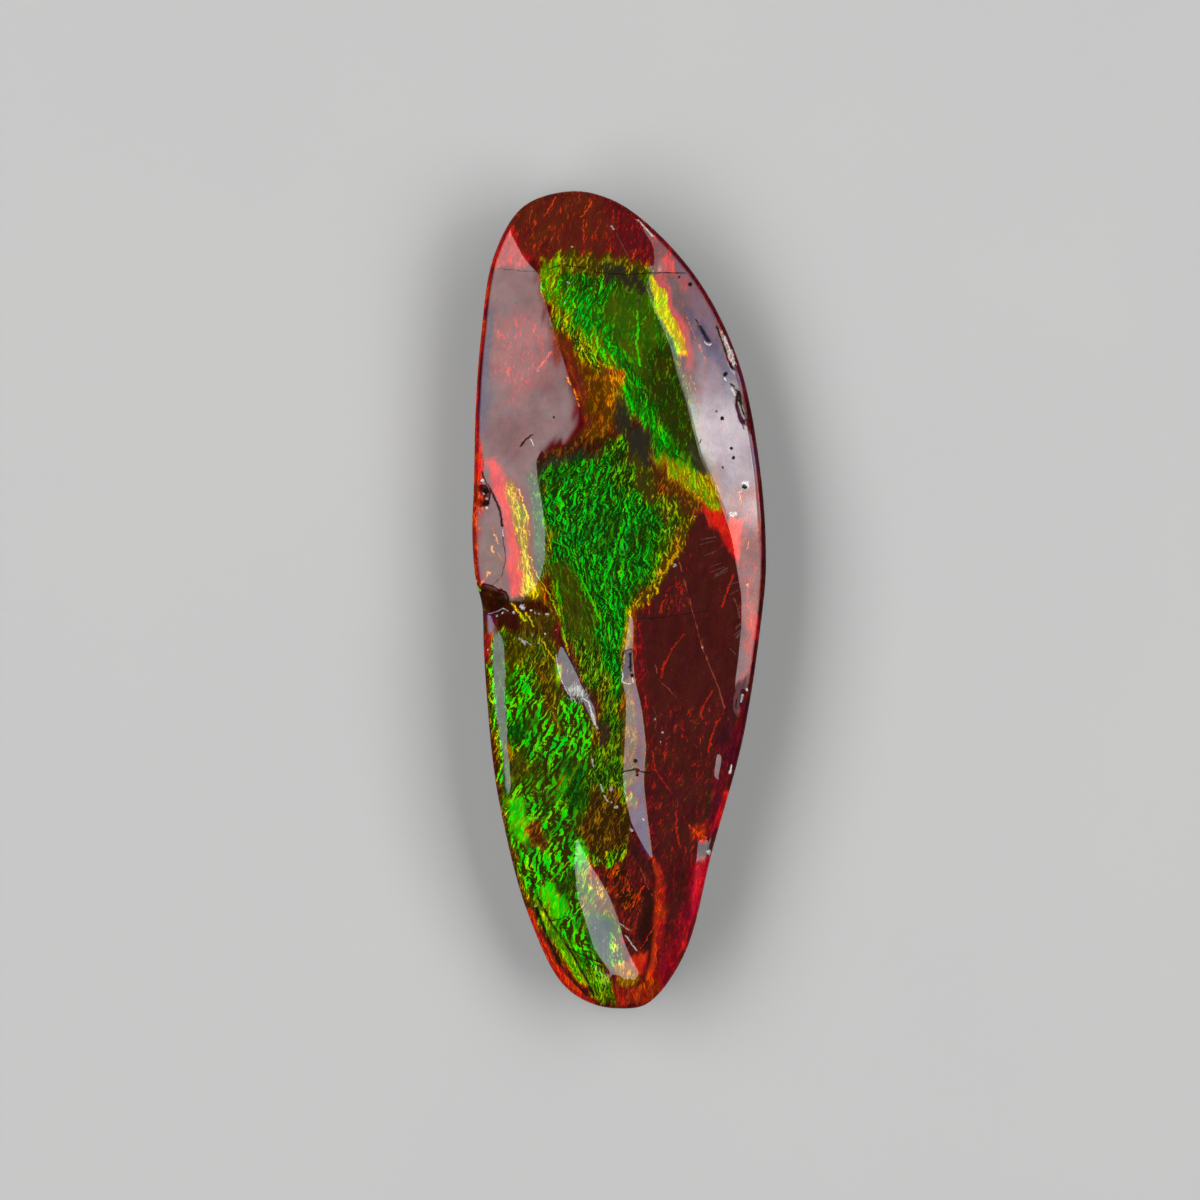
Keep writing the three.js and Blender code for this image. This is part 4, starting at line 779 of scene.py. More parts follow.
def makeStone():
    slab = makeSlab()
    s, t, ring, count = netPlaces(slab)
    rim = makeRim()
    inward = inwards(rim)
    edge = rim + inward * stone["faceInset"]
    relief = settle(facetSlopes, stone["reliefStep"], levels=4)
    print("relief settled")

    def faceHeight(x, y):
        return sampleGrid(relief, x, y) - biteDepth(x, y) + roughen(x, y, "polish")

    plan = fillFace(edge, s, t)
    onFace = ring == 0
    faceTop = faceHeight(*plan[onFace].T)
    lift = stone["thickness"] - faceTop.max() - stone["clearance"]
    rimTop = faceHeight(*edge.T) + lift

    wall, height = shapeSide(ring, rimTop[count], rim[count], inward[count])
    height[onFace] = faceTop + lift
    across = np.where(onFace[:, None], plan, wall)
    places = np.column_stack([across, height])
    slab.data.vertices.foreach_set("co", (places * mm).ravel())
    slab.data.update()
    return slab, places, ring, rimTop[count]


def storeField(piece, name, values):
    kind, target = ("FLOAT", "value") if values.ndim == 1 else ("FLOAT_VECTOR", "vector")
    field = piece.data.attributes.new(name, kind, "POINT")
    field.data.foreach_set(target, values.astype(np.float32).ravel())


def storeFields(piece, places, ring, rimTop):
    x, y, z = places.T
    across = sampleGrid(settle(fibreSlopes, stone["fibreStep"], levels=2), x, y)
    painted = paintAreas(x, y, across)
    painted["gloss"] *= np.interp(biteDepth(x, y), *stone["biteGloss"])
    for name, values in painted.items():
        storeField(piece, name, values)
    storeField(piece, "fibre", np.stack([across, y, z], 1))
    storeField(piece, "side", np.clip(ring / stone["rollRings"], 0, 1))
    storeField(piece, "drop", np.clip(rimTop - z, 0, 9) * (ring > 0))


class Value:  # a socket in a shader: arithmetic on it adds Math nodes
    def __init__(self, shader, socket):
        self.shader, self.socket = shader, socket

    def math(self, operation, *others, first=None):
        values = [self if first is None else first, *others]
        return self.shader.add("ShaderNodeMath", {"operation": operation}, dict(enumerate(values)))

    def __add__(self, other):
        return self.math("ADD", other)

    def __sub__(self, other):
        return self.math("SUBTRACT", other)

    def __mul__(self, other):
        return self.math("MULTIPLY", other)

    def __truediv__(self, other):
        return self.math("DIVIDE", other)

    def __rsub__(self, other):
        return self.math("SUBTRACT", self, first=other)

    def __pow__(self, other):
        return self.math("POWER", other)

    __radd__ = __add__
    __rmul__ = __mul__

    def least(self, other):
        return self.math("MINIMUM", other)

    def most(self, other):
        return self.math("MAXIMUM", other)

    def size(self):
        return self.math("ABSOLUTE")

    def clamped(self):
        return self.shader.add("ShaderNodeClamp", None, {"Value": self})

    def rising(self, low, high):  # 0 below low, 1 above high, smooth between
        inputs = {"Value": self, "From Min": low, "From Max": high}
        return self.shader.add("ShaderNodeMapRange", {"interpolation_type": "SMOOTHSTEP"}, inputs)

    def risingFrom(self, floor, low, high):  # the same, but from floor to 1
        return self.rising(low, high) * (1 - floor) + floor


class Shader:
    def __init__(self, owner):  # a material or a lamp
        owner.use_nodes = True
        self.owner = owner
        self.tree = owner.node_tree
        self.tree.nodes.clear()

    def add(self, kind, settings=None, inputs=None, output=0):
        node = self.tree.nodes.new(kind)
        for name, value in (settings or {}).items():
            if name == "stops":
                self.setStops(node.color_ramp, value)
            elif name == "bends":
                self.setBends(node.mapping, value)
            else:
                setattr(node, name, value)
        for name, value in (inputs or {}).items():
            socket = node.inputs[name]
            if isinstance(value, Value):
                self.tree.links.new(value.socket, socket)
            else:
                socket.default_value = value
        return Value(self, node.outputs[output]) if node.outputs else node

    def setStops(self, ramp, stops):
        while len(ramp.elements) < len(stops):
            ramp.elements.new(0.5)
        for element, (place, colour) in zip(ramp.elements, stops):
            element.position = place
            element.color = (*colour, 1)

    def setBends(self, mapping, bends):
        mapping.use_clip = False
        mapping.extend = "HORIZONTAL"
        line = mapping.curves[0]
        line.points[0].location, line.points[1].location = bends[0], bends[-1]
        for bend in bends[1:-1]:
            line.points.new(*bend)
        for point in line.points:
            point.handle_type = "VECTOR"
        mapping.update()

    def field(self, name, output="Fac"):
        return self.add("ShaderNodeAttribute", {"attribute_name": name}, output=output)

    def combine(self, x, y, z):
        return self.add("ShaderNodeCombineXYZ", None, {"X": x, "Y": y, "Z": z})

    def part(self, vector, axis):
        return self.add("ShaderNodeSeparateXYZ", None, {"Vector": vector}, output=axis)

    def vector(self, operation, a, b=None, output=0, **others):
        inputs = {0: a, **others} if b is None else {0: a, 1: b, **others}
        return self.add("ShaderNodeVectorMath", {"operation": operation}, inputs, output)

    def noise(self, place, scale=1.0, detail=2.0, roughness=0.5, distortion=0.0, output=0):
        inputs = {"Vector": place, "Scale": scale, "Detail": detail, "Roughness": roughness}
        return self.add("ShaderNodeTexNoise", None, {**inputs, "Distortion": distortion}, output)

    def mix(self, share, a, b):
        colours = {6: a, 7: b}
        return self.add("ShaderNodeMix", {"data_type": "RGBA"}, {"Factor": share, **colours}, 2)

    def ramp(self, value, stops):
        return self.add("ShaderNodeValToRGB", {"stops": stops}, {"Fac": value})

    def finish(self, inputs):
        surface = self.add("ShaderNodeBsdfPrincipled", None, inputs)
        self.add("ShaderNodeOutputMaterial", None, {"Surface": surface})
        return self.owner


# Lines of points on the face, each with its half width: cracks, fine light veins, then chalky scratches,
# deep and faint. One chalky line along the top rim of the right panel is a painted reflection, and one
# faint line along the crease at the left edge of the right panel is a painted highlight.
cracks = [
    (0.013, "-7.56,19.86 -5.94,19.68 -4.62,19.62"),
    (0.033, "-4.44,19.68 -3.42,20.04 -2.22,19.86 -1.26,19.56 0.36,19.44 2.16,19.56 4.02,19.56"),
    (0.048, "-8.22,7.68 -7.98,7.08 -7.74,6.72"), (0.078, "-7.74,6.72 -7.44,6.06 -7.14,5.4 -6.99,4.38"),
    (0.024, "-6.96,3.84 -6.78,2.4 -7.02,1.44 -7.62,0.84"),
    (0.027, "1.02,-1.14 2.58,-1.02 3.78,-0.84 5.34,-0.66"),
    (0.06, "-0.12,-10.38 0.48,-10.2 1.02,-10.08 1.32,-10.26 1.86,-10.32"),
    (0.09, "-5.34,-16.56 -4.68,-18.18 -3.96,-19.5 -2.94,-20.94 -1.86,-22.92 -1.5,-23.76"),
    (0.1, "-4.98,-18.36 -4.26,-20.28 -3.42,-22.08 -1.86,-23.76"),
    (0.048, "-3.12,-20.76 -2.34,-21.18 -0.9,-21.78"), (0.03, "-4.02,-19.2 -3.12,-18.96 -2.34,-18.84"),
    (0.066, "5.82,16.44 6.18,15.48 6.48,14.52 6.72,13.92 7.14,13.74"),
    (0.066, "-5.88,9.18 -5.64,9.54 -5.16,9.9"), (0.13, "4.8,16.44 5.04,16.02 5.4,15.42"),
    (0.042, "4.56,16.8 4.74,16.5"), (0.066, "6.66,12.93 6.96,12.78"), (0.042, "6.96,12.66 7.14,12.36"),
    (0.054, "7.14,12 7.38,11.7"), (0.036, "7.38,10.5 7.5,10.2"), (0.03, "0.3,-3.06 0.78,-2.88"),
    (0.03, "0.78,-2.88 0.66,-3.84 0.54,-4.08"), (0.084, "0.66,-3.18 0.69,-4.26"),
    (0.021, "4.92,9.6 4.74,9.24"), (0.036, "3.12,8.82 3.54,8.52 4.02,8.22"),
]
veins = [
    (0.036, "3.6,2.28 4.44,-0.9 4.98,-2.88 5.94,-5.28 6.3,-6.48"),
    (0.027, "2.16,-3.84 2.34,-4.8 2.82,-5.16 3.42,-5.82"), (0.027, "1.98,-6.36 2.22,-6.9 2.16,-7.68"),
    (0.024, "5.04,5.4 5.7,3.84"), (0.03, "1.26,-15.96 1.62,-16.92 1.98,-17.7"),
]
scratchesAndRimReflection = [
    (0.03, "-7.8,-0.84 -7.32,-0.72 -6.96,-0.51 -6.6,-0.66"), (0.06, "-6,-2.28 -5.58,-2.64"),
    (0.03, "-5.7,-2.4 -5.22,-2.7"), (0.048, "-2.1,-5.88 -1.8,-6.18 -1.62,-6.72"),
    (0.072, "-1.62,-6.72 -1.5,-7.2 -1.32,-7.68"), (0.042, "-1.62,-9.48 -1.53,-9.96"),
    (0.03, "-3.78,-3.24 -3.6,-4.32 -3.18,-5.4 -2.52,-6.18"), (0.048, "-1.14,-10.98 -0.96,-11.46"),
    (0.042, "-0.9,-11.64 -0.66,-12.06"), (0.036, "0.24,-4.32 0.18,-4.86"),
    (0.036, "0.18,-4.86 0.54,-5.04 0.84,-4.92"), (0.036, "0.84,-4.92 0.78,-4.56"),
    (0.048, "-0.48,22.41 -0.3,22.14"), (0.03, "0.06,-19.32 0.66,-19.74"),
    # the second mark on the next line, along the top rim of the right panel, is a painted reflection in
    # chalk colour
    (0.042, "0.36,-20.04 0.78,-20.58 1.08,-21"), (0.039, "1.08,22.8 1.56,22.26 2.04,21.72"),
    (0.048, "6.3,15.84 6.84,14.52"), (0.048, "6.72,15 6.96,14.16"),
    (0.048, "5.1,15.48 5.34,15.24 5.52,15.3"), (0.036, "-5.28,9.66 -5.1,9.24"),
    (0.048, "6.72,12.72 6.96,12.24"), (0.048, "7.14,11.88 7.32,11.28 7.5,10.8"),
    (0.036, "-6.96,4.2 -6.93,3.78"), (0.06, "7.38,-5.64 7.29,-6.12"), (0.048, "6.72,-9.84 6.6,-10.38"),
]
faintScratchesAndCreaseHighlight = [
    (0.024, "4.8,3.3 5.7,3.54"), (0.027, "5.1,2.64 5.82,2.94"), (0.024, "5.46,1.98 6.12,2.22"),
    (0.024, "5.52,1.68 6.3,1.98"), (0.021, "5.64,1.32 6.48,1.74"), (0.024, "6.48,0.9 7.14,1.08"),
    (0.021, "6.54,0.3 7.14,0.6"), (0.036, "4.86,3.6 5.82,3.78"), (0.048, "5.7,1.44 6.48,1.92"),
    (0.054, "6.84,0.12 7.08,-0.36 7.2,-1.08"), (0.066, "6.96,-1.68 7.26,-1.44"),
    (0.072, "7.02,-2.28 7.26,-1.86"), (0.027, "6.6,-2.88 7.02,-3.3"), (0.024, "-0.18,21.96 0.54,20.52"),
    (0.024, "0,3.84 0.36,2.7"), (0.027, "6.84,-2.16 7.26,-1.74"), (0.027, "-0.96,-20.52 -0.9,-21.72"),
    (0.027, "-0.72,-20.4 -0.66,-21.9"), (0.027, "-0.48,-20.64 -0.48,-21.96"),
    # painted highlight: this long line along the crease at the left edge of the right panel is drawn as a
    # faint scratch
    (0.042, "1.98,17.76 2.94,15.6 3.84,12.9 4.38,10.5 4.86,8.52"),
]

# Long bright strokes, by the hue and the strength of their flash. One along the edge of the flake is a
# painted highlight.
brightStrokes = [
    (0.3, 0.9, [
        (0.072, "-4.08,14.82 -4.44,14.28 -4.92,13.68"), (0.039, "-3.78,24.18 -4.08,23.52 -4.5,22.98"),
        (0.039, "-1.62,23.88 -1.92,23.28 -2.34,22.86"), (0.036, "-2.1,22.8 -2.16,22.08 -2.04,21.12"),
        (0.048, "1.02,21 0.78,20.4"), (0.072, "4.14,-13.44 4.68,-13.92 5.22,-14.22"),
        (0.045, "1.5,-17.04 0.9,-18 0.42,-18.48"), (0.036, "2.1,-19.5 1.56,-20.4 1.26,-20.82"),
        # painted highlight: this line runs along the lit side of the flake's edge
        (0.042, "6,16.2 6.18,15.54 6.48,14.7 6.78,14.04"),
    ]),
    (0.23, 0.6, [
        (0.06, "3.9,-2.04 3.18,-2.94 2.64,-3.96 2.52,-4.68"),
        (0.06, "6.24,-6.72 5.82,-7.32 5.52,-8.1 5.34,-9.12"), (0.048, "5.58,-5.4 5.1,-6.18 4.8,-6.96"),
        (0.06, "3.42,-12.48 3.42,-13.68 3.66,-14.88"), (0.036, "1.98,-9 2.16,-10.2 3.18,-11.52"),
        (0.06, "6.84,1.56 6.48,0.6 6.12,-0.42"), (0.06, "2.82,0.36 2.58,-0.24 2.46,-0.84"),
    ]),
    (0.38, 0.55, [
        (0.042, "4.02,16.92 4.26,16.38 4.56,15.66"), (0.072, "4.8,15.3 4.98,14.82"),
        (0.042, "5.04,14.64 5.22,14.16"), (0.036, "4.26,13.44 4.62,12.48"),
    ]),
    (0.44, 1, [
        (0.048, "-6.66,6.84 -6.42,6.54 -6.18,6.24"), (0.072, "-6.48,6.36 -6.36,5.82 -6.18,5.28 -5.94,4.5"),
        (0.06, "-5.88,3.6 -5.7,2.64"), (0.1, "-5.76,2.64 -5.7,1.68 -5.76,0.18"),
        (0.033, "7.44,6.66 7.2,6.42 7.26,5.82"), (0.054, "-7.44,3.96 -7.26,3.36"),
        (0.054, "-7.62,3.3 -7.56,2.82"), (0.078, "-8.28,0.9 -8.04,1.26 -7.74,1.68"),
        (0.048, "-3.12,13.44 -2.94,12.84"), (0.054, "-2.7,12.66 -2.52,12.06 -2.4,11.52"),
        (0.042, "7.74,3.54 7.62,3"), (0.036, "7.68,1.02 7.74,0.72"), (0.09, "3.54,3.06 3,2.1 2.64,1.56"),
    ]),
    (0.53, 1, [
        (0.054, "-6,6.6 -5.7,5.88"), (0.09, "-6.24,6.18 -6.06,5.76 -6,5.34"),
        (0.06, "-5.76,5.76 -5.58,5.28 -5.4,4.8"), (0.078, "-5.7,4.2 -5.64,3.54"),
        (0.048, "-5.46,4.26 -5.34,3.84"), (0.12, "-5.7,3.12 -5.52,2.28 -5.22,1.44 -4.98,0.9"),
        (0.12, "-5.52,2.28 -5.52,1.44 -5.4,0.48"), (0.09, "-5.1,0.72 -5.1,0"),
        (0.042, "-4.68,-2.28 -4.32,-2.88 -3.78,-3.72"), (0.072, "-0.78,-15 -0.66,-15.6"),
        (0.09, "0.42,-14.88 0.18,-15.48"), (0.066, "2.58,1.38 2.16,0.9 2.34,0.36"),
        (0.042, "1.38,0.24 0.9,-0.36"), (0.042, "1.74,0.36 1.74,-0.36"),
    ]),
    (0.61, 1, [
        (0.09, "-6.42,-0.18 -6,-0.72 -5.58,-1.32"), (0.054, "-5.58,-0.72 -5.28,-1.2 -5.1,-1.62"),
        (0.045, "-5.28,2.58 -5.16,2.04 -4.92,1.5"),
    ]),
    (0.72, 1, [
        (0.045, "-3.72,1.14 -3.66,0 -3.54,-0.96"), (0.051, "-3.42,-1.68 -3.18,-2.52 -3,-3.36"),
        (0.036, "-4.92,1.5 -4.26,0.48 -3.54,-1.08"),
        (0.054, "-2.58,2.28 -1.98,0.72 -1.44,-0.48 -1.08,-1.32"), (0.066, "-0.3,2.64 -0.72,1.5 -1.14,0.48"),
        (0.042, "0.3,4.8 -0.18,3.3 -0.36,2.4"), (0.066, "1.08,17.28 1.14,16.2 1.02,15.3 1.26,13.92"),
        (0.054, "1.56,16.92 1.32,16.44"), (0.096, "0.3,12.72 0.6,12 0.84,11.28"),
        (0.048, "0.42,13.56 0.78,12.84"), (0.09, "2.52,9.84 2.82,9.24"),
        (0.039, "-4.38,-17.22 -3.54,-16.14 -2.64,-15.36"), (0.03, "-3.54,-16.8 -3.18,-16.08 -2.64,-15.72"),
        (0.048, "-6,-15.72 -5.88,-16.2"), (0.042, "0.3,-3.24 0.3,-3.84"), (0.054, "-8.64,1.32 -8.61,0.84"),
        (0.048, "-8.46,0.78 -8.34,0.48"),
    ]),
]

# Round pits and crumbs: place and radius.
pits = [
    (4.26, 18.9, 0.12), (3.6, 19.32, 0.09), (6.36, 13.5, 0.14), (5.82, 11.28, 0.06), (6.18, 10.86, 0.12),
    (6.72, 9.06, 0.096), (6.84, 8.52, 0.096), (6.18, 7.92, 0.072), (7.5, 6.78, 0.16), (-7.98, 6.54, 0.18),
    (-7.98, 5.79, 0.22), (-3.9, 10.92, 0.072), (0.96, -9.6, 0.12), (1.08, -10.2, 0.14),
    (1.08, -10.44, 0.11), (0.78, -4.5, 0.12),
]
crumbs = [
    (-5.76, -0.42, 0.15), (-6.3, -0.72, 0.09), (-6.96, -0.78, 0.06), (-7.32, -0.96, 0.06),
    (-5.28, -0.6, 0.072), (-5.04, -0.78, 0.078), (-4.8, -0.84, 0.06), (-4.32, -0.9, 0.096),
    (-3.78, -1.8, 0.06), (-4.44, -2.04, 0.072), (-5.16, -2.1, 0.06), (-4.86, -2.58, 0.066),
    (-0.18, -12.36, 0.096), (-0.42, -12.06, 0.066), (-0.48, -11.28, 0.14), (0.72, -13.68, 0.078),
    (1.44, -13.14, 0.06), (-2.82, 21.12, 0.06), (-5.04, -18.36, 0.09), (4.98, -2.82, 0.06),
    (2.16, -7.08, 0.066), (2.58, -7.92, 0.06), (2.46, -8.46, 0.06), (4.5, 4.98, 0.09), (3.3, 2.1, 0.11),
    (6.72, 5.1, 0.17), (6.96, 5.16, 0.096), (6.36, 13.26, 0.096), (-7.86, -3, 0.06), (5.34, -15.06, 0.16),
    (0.78, -13.74, 0.072), (-3.24, 17.7, 0.06), (-3.06, 18.96, 0.084), (-7.92, 5.52, 0.096),
    (-8.16, 7.2, 0.11), (7.56, 6.9, 0.26), (-8.1, 6.36, 0.084), (-7.92, 6.06, 0.11), (7.62, -5.34, 0.12),
    (6.63, -10.26, 0.12),
]

farAway = 4000  # mm
lineEdge = (1.6, 0.2)  # half widths from its line where a mark ends, and where it shows in full
dotEdge = (1.25, 0.75)  # radii from its middle where a dot ends, and where it shows in full


def lineDistance(shader, parts, halfWidth, line):
    # how far a place is from a line of points, in half widths. The line is a curve over the axis
    # that it follows, and off its ends it is far away.
    route = points(line)
    reach = np.abs(np.subtract(route[-1], route[0]))
    axis = int(reach[1] > reach[0])
    route = sorted((place[axis], place[1 - axis]) for place in route)
    margin = reach[axis] * 0.01
    start, span = route[0][0] - margin, reach[axis] + margin * 2
    bends = [(0, farAway), *(((at - start) / span, off) for at, off in route), (1, farAway)]
    share = parts[axis].math("MULTIPLY_ADD", 1 / span, -start / span)
    curve = shader.add("ShaderNodeFloatCurve", {"bends": bends}, {"Value": share})
    return ((parts[1 - axis] - curve) * (reach[axis] / np.hypot(*reach) / halfWidth)).size()


def markShare(shader, place, marks):  # 1 on the marks, 0 away from them
    parts = [shader.part(place, axis) for axis in (0, 1)]
    nearest = None
    for halfWidth, line in marks:
        away = lineDistance(shader, parts, halfWidth, line)
        nearest = away if nearest is None else nearest.least(away)
    return nearest.rising(*lineEdge)


def dotShare(shader, place, dots, ragged):
    nearest = None
    for x, y, radius in dots:
        away = shader.vector("DISTANCE", place, (x, y, 0), output="Value") / radius
        nearest = away if nearest is None else nearest.least(away)
    return (nearest + ragged).rising(*dotEdge)


flashStops = [
    (0.00, (0.1, 0.09, 0.35)),
    (0.06, (0.35, 0.02, 0.14)),
    (0.12, (0.6, 0.0, 0.02)),
    (0.21, (0.95, 0.015, 0.005)),
    (0.30, (0.98, 0.08, 0.0)),
    (0.40, (0.98, 0.26, 0.0)),
    (0.49, (0.96, 0.54, 0.0)),
    (0.56, (0.8, 0.84, 0.0)),
    (0.63, (0.25, 0.92, 0.0)),
    (0.72, (0.0, 0.92, 0.0)),
    (0.81, (0.0, 0.6, 0.02)),
    (0.88, (0.0, 0.35, 0.16)),
    (0.95, (0.06, 0.1, 0.4)),
]
groundStops = [
    (0.00, (0.05, 0.015, 0.06)),
    (0.12, (0.068, 0.004, 0.009)),
    (0.21, (0.073, 0.01, 0.007)),
    (0.38, (0.065, 0.02, 0.001)),
    (0.54, (0.05, 0.042, 0.0)),
    (0.65, (0.014, 0.05, 0.0)),
    (0.75, (0.001, 0.055, 0.0)),
    (0.88, (0.0, 0.05, 0.02)),
]

# Patterns that are drawn out along the fibres: waves for each mm across and along them and upwards,
# then the detail, roughness and distortion of the noise.
patterns = {
    "medium": ((3.4, 1.0, 1), 2.0, 0.6, 0.3),
    "patch": ((1.5, 0.75, 1), 3.0, 0.6, 0.6),
    "drift": ((2.4, 0.9, 1), 3.0, 0.65, 0.3),
    "bunch": ((0.75, 0.42, 1), 2.0, 0.6, 0.5),
    "grain": ((15, 9, 1), 1.0, 0.5, 0.0),
    "fold": ((2.5, 1.05, 1), 4.0, 0.66, 0.8),  # the height of the crumpled foil, whose slopes carry painted glints
}

# Where a pattern begins to show and where it shows in full, some with the share that always shows.
ammolite = {
    "strokes": (0.53, 0.64),
    "strokePatches": (0.4, 0.36, 0.62),
    "foilHatch": (0.4, 0.4, 0.58),
    "foilPatches": (0.3, 0.36, 0.56),
    "foilBunches": (0.25, 0.36, 0.54),
    "threads": (0.38, 0.6),
    "threadGrain": (0.4, 0.3, 0.5),
    "chalkGrain": (0.3, 0.5),
    "chalkStrands": (0.68, 0.9),
    "wornGrain": (0.25, 0.6),
    "veinStrands": (0.35, 0.6),
    "crackWear": (0.6, 0.3, 0.55),
    "bloomClouds": (0.7, 0.3, 0.66),
    "bloomStrands": (0.42, 0.62),
    "bareSkin": (0.1, 0.5),
    "clayLayers": (0.4, 0.62),
    "flakedLayers": (0.53, 0.57),
    "layerWaves": (0.5, 0.5, 9.0),  # of the shale, for each mm
    "skinDepth": 1.6,  # mm that the play of colour reaches down the side, at most
    "skewness": (0.24, -0.2),  # how far the two sets of fine fibres lean across the others
    "hatchWaves": (9.5, 2.0),  # of those fine fibres, for each mm across and along
    "sway": 0.4,  # mm that the fibres wander
    "wobble": 0.16,  # mm that cracks and scratches wander, bright strokes twice as much
    "hueTurn": 0.3,  # how far the hue turns from strand to strand
    "foldStep": (0.055, 0.095),  # mm between the heights that a fold is read at: fine, more if coarse
    "slate": (0.026, 0.024, 0.018, 1),
    "chalkAndReflection": (0.6, 0.6, 0.57, 1),
    "wornAndCreaseHighlight": (0.24, 0.14, 0.12, 1),
    "vein": (0.6, 0.12, 0.06, 1),
    "crack": (0.012, 0.008, 0.006, 1),
    "darkClay": (0.012, 0.01, 0.009, 1),
    "lightClay": (0.05, 0.04, 0.032, 1),
    "metallic": 0.25,
    "roughness": 0.36,
    "coatRoughness": 0.03,
    "coatIor": 1.63,
    "bumpStrength": 0.5,
    "bumpDistance": 0.00005,  # m
}


def pattern(shader, strand, name):
    waves, detail, rough, distortion = patterns[name]
    place = shader.vector("MULTIPLY", strand, waves)
    return shader.noise(place, 1.0, detail, rough, distortion)


def stray(shader, place, scale, detail, reach):
    turned = shader.noise(place, scale, detail, output="Color")
    return shader.vector("SCALE", shader.vector("SUBTRACT", turned, (0.5, 0.5, 0.5)), Scale=reach)


def skewedFibres(shader, strand, lean):  # fine fibres that cross the others at a slight angle
    along = shader.part(strand, 1)
    across = shader.part(strand, 0) + along * lean
    wavesAcross, wavesAlong = ammolite["hatchWaves"]
    place = shader.combine(across * wavesAcross, along * wavesAlong, lean * 40)
    return shader.noise(place, 1.0, 2.0, 0.6)


def weaveFibres(shader, fields):
    fibre = shader.field("fibre", "Vector")
    strand = shader.vector("ADD", fibre, stray(shader, fibre, 1.5, 3.0, ammolite["sway"]))
    weave = SimpleNamespace(**{name: pattern(shader, strand, name) for name in patterns})
    leftward, rightward = (skewedFibres(shader, strand, lean) for lean in ammolite["skewness"])
    weave.hatch = leftward.most(rightward)
    weave.grainy = weave.hatch * 0.75 + weave.medium * 0.25 - fields.sparse * 0.09

    # the slopes of the folds: heights that are read close together catch the finer ones. Painted glints and
    # a painted turn of hue follow these slopes
    fine, more = ammolite["foldStep"]
    weave.coarse = fields.crumple.rising(0.8, 1)
    weave.apart = weave.coarse * more + fine
    step = shader.vector("SCALE", (1, 0.4, 0), Scale=weave.apart)
    beside = pattern(shader, shader.vector("ADD", strand, step), "fold")
    weave.tilt = (beside - weave.fold) / (weave.apart * 3.6 + 0.46)
    return weave


def flashFace(shader, fields, weave, place):
    # strands: thin flashes in clumps along wavy fibres, or, where it is crumpled, painted glints on the
    # fold slopes that lean one way
    strokes = weave.grainy.rising(*ammolite["strokes"])
    strokes = strokes * weave.patch.risingFrom(*ammolite["strokePatches"])
    # painted glint: the foil flashes only where a fold slopes steeply one way
    foilGlint = weave.tilt.rising(0.085 - weave.apart * 0.63, 0.07 - weave.apart * 0.1)
    foilGlint = foilGlint * weave.hatch.risingFrom(*ammolite["foilHatch"])
    foilGlint = foilGlint * weave.patch.risingFrom(*ammolite["foilPatches"])
    foilGlint = foilGlint * weave.bunch.risingFrom(*ammolite["foilBunches"])
    broken = strokes + (foilGlint - strokes) * fields.crumple
    glare = fields.sheen * (weave.medium * 0.8 + weave.patch * 0.9 + 0.15)
    flash = broken * fields.glow + glare

    # the colour turns from strand to strand, and with the tilt of each fold: a painted change of hue on the
    # slopes that lean one way
    turn = (weave.drift - 0.5) * (fields.crumple * 0.15 + ammolite["hueTurn"])
    lean = fields.crumple * ((weave.tilt - 0.03) * (weave.apart * 10)).least(0.05)
    play = fields.hue + turn + lean
    play = play.most(fields.hue.least(0.13))  # only what is violet on its own goes past crimson

    threads = weave.hatch.rising(*ammolite["threads"])
    threads = threads * weave.grain.risingFrom(*ammolite["threadGrain"])
    for hue, strength, lines in brightStrokes:
        drawn = markShare(shader, place, lines) * threads
        play = play + (hue - play) * drawn
        flash = flash.most(drawn * strength)
    return flash.clamped(), shader.ramp(play, flashStops)


def groundFace(shader, fields, weave):
    turn = (weave.drift - 0.5) * 0.26
    dark = shader.ramp(fields.hue + turn - 0.03 - weave.coarse * 0.09, groundStops)
    tone = weave.patch * 1.1 + weave.medium * 0.45 + weave.grain * 0.8 - 0.15
    return shader.vector("SCALE", dark, Scale=fields.shade * tone)


def scratchFace(shader, fields, weave, colour, flat, wobbled, frayed):  # chalky scratches and crumbs, among them painted reflections and a painted highlight
    chalkAndReflection = dotShare(shader, frayed, crumbs, (weave.grain - 0.42) * 1.6)
    chalkAndReflection = markShare(shader, wobbled, scratchesAndRimReflection).most(chalkAndReflection) * 0.85
    chalkAndReflection = chalkAndReflection * weave.grain.rising(*ammolite["chalkGrain"])
    pale = (weave.grainy + fields.pale * 0.42).rising(*ammolite["chalkStrands"])
    colour = shader.mix(chalkAndReflection.most(pale * 0.85), colour, ammolite["chalkAndReflection"])
    wornAndCreaseHighlight = markShare(shader, flat, faintScratchesAndCreaseHighlight) * weave.grain.rising(*ammolite["wornGrain"])
    return shader.mix(wornAndCreaseHighlight * 0.45, colour, ammolite["wornAndCreaseHighlight"])


def crackFace(shader, fields, weave, colour, place, wobbled):
    crack = dotShare(shader, wobbled, pits, (weave.grain - 0.5) * 0.5)
    crack = markShare(shader, wobbled, cracks).most(crack) * (1.0 - fields.side.rising(0.5, 1))
    vein = markShare(shader, wobbled, veins) * weave.medium.rising(*ammolite["veinStrands"])
    colour = shader.mix(vein * 0.55, colour, ammolite["vein"])
    wear = shader.noise(place, 1.7).risingFrom(*ammolite["crackWear"])
    return crack, shader.mix(crack * wear, colour, ammolite["crack"])


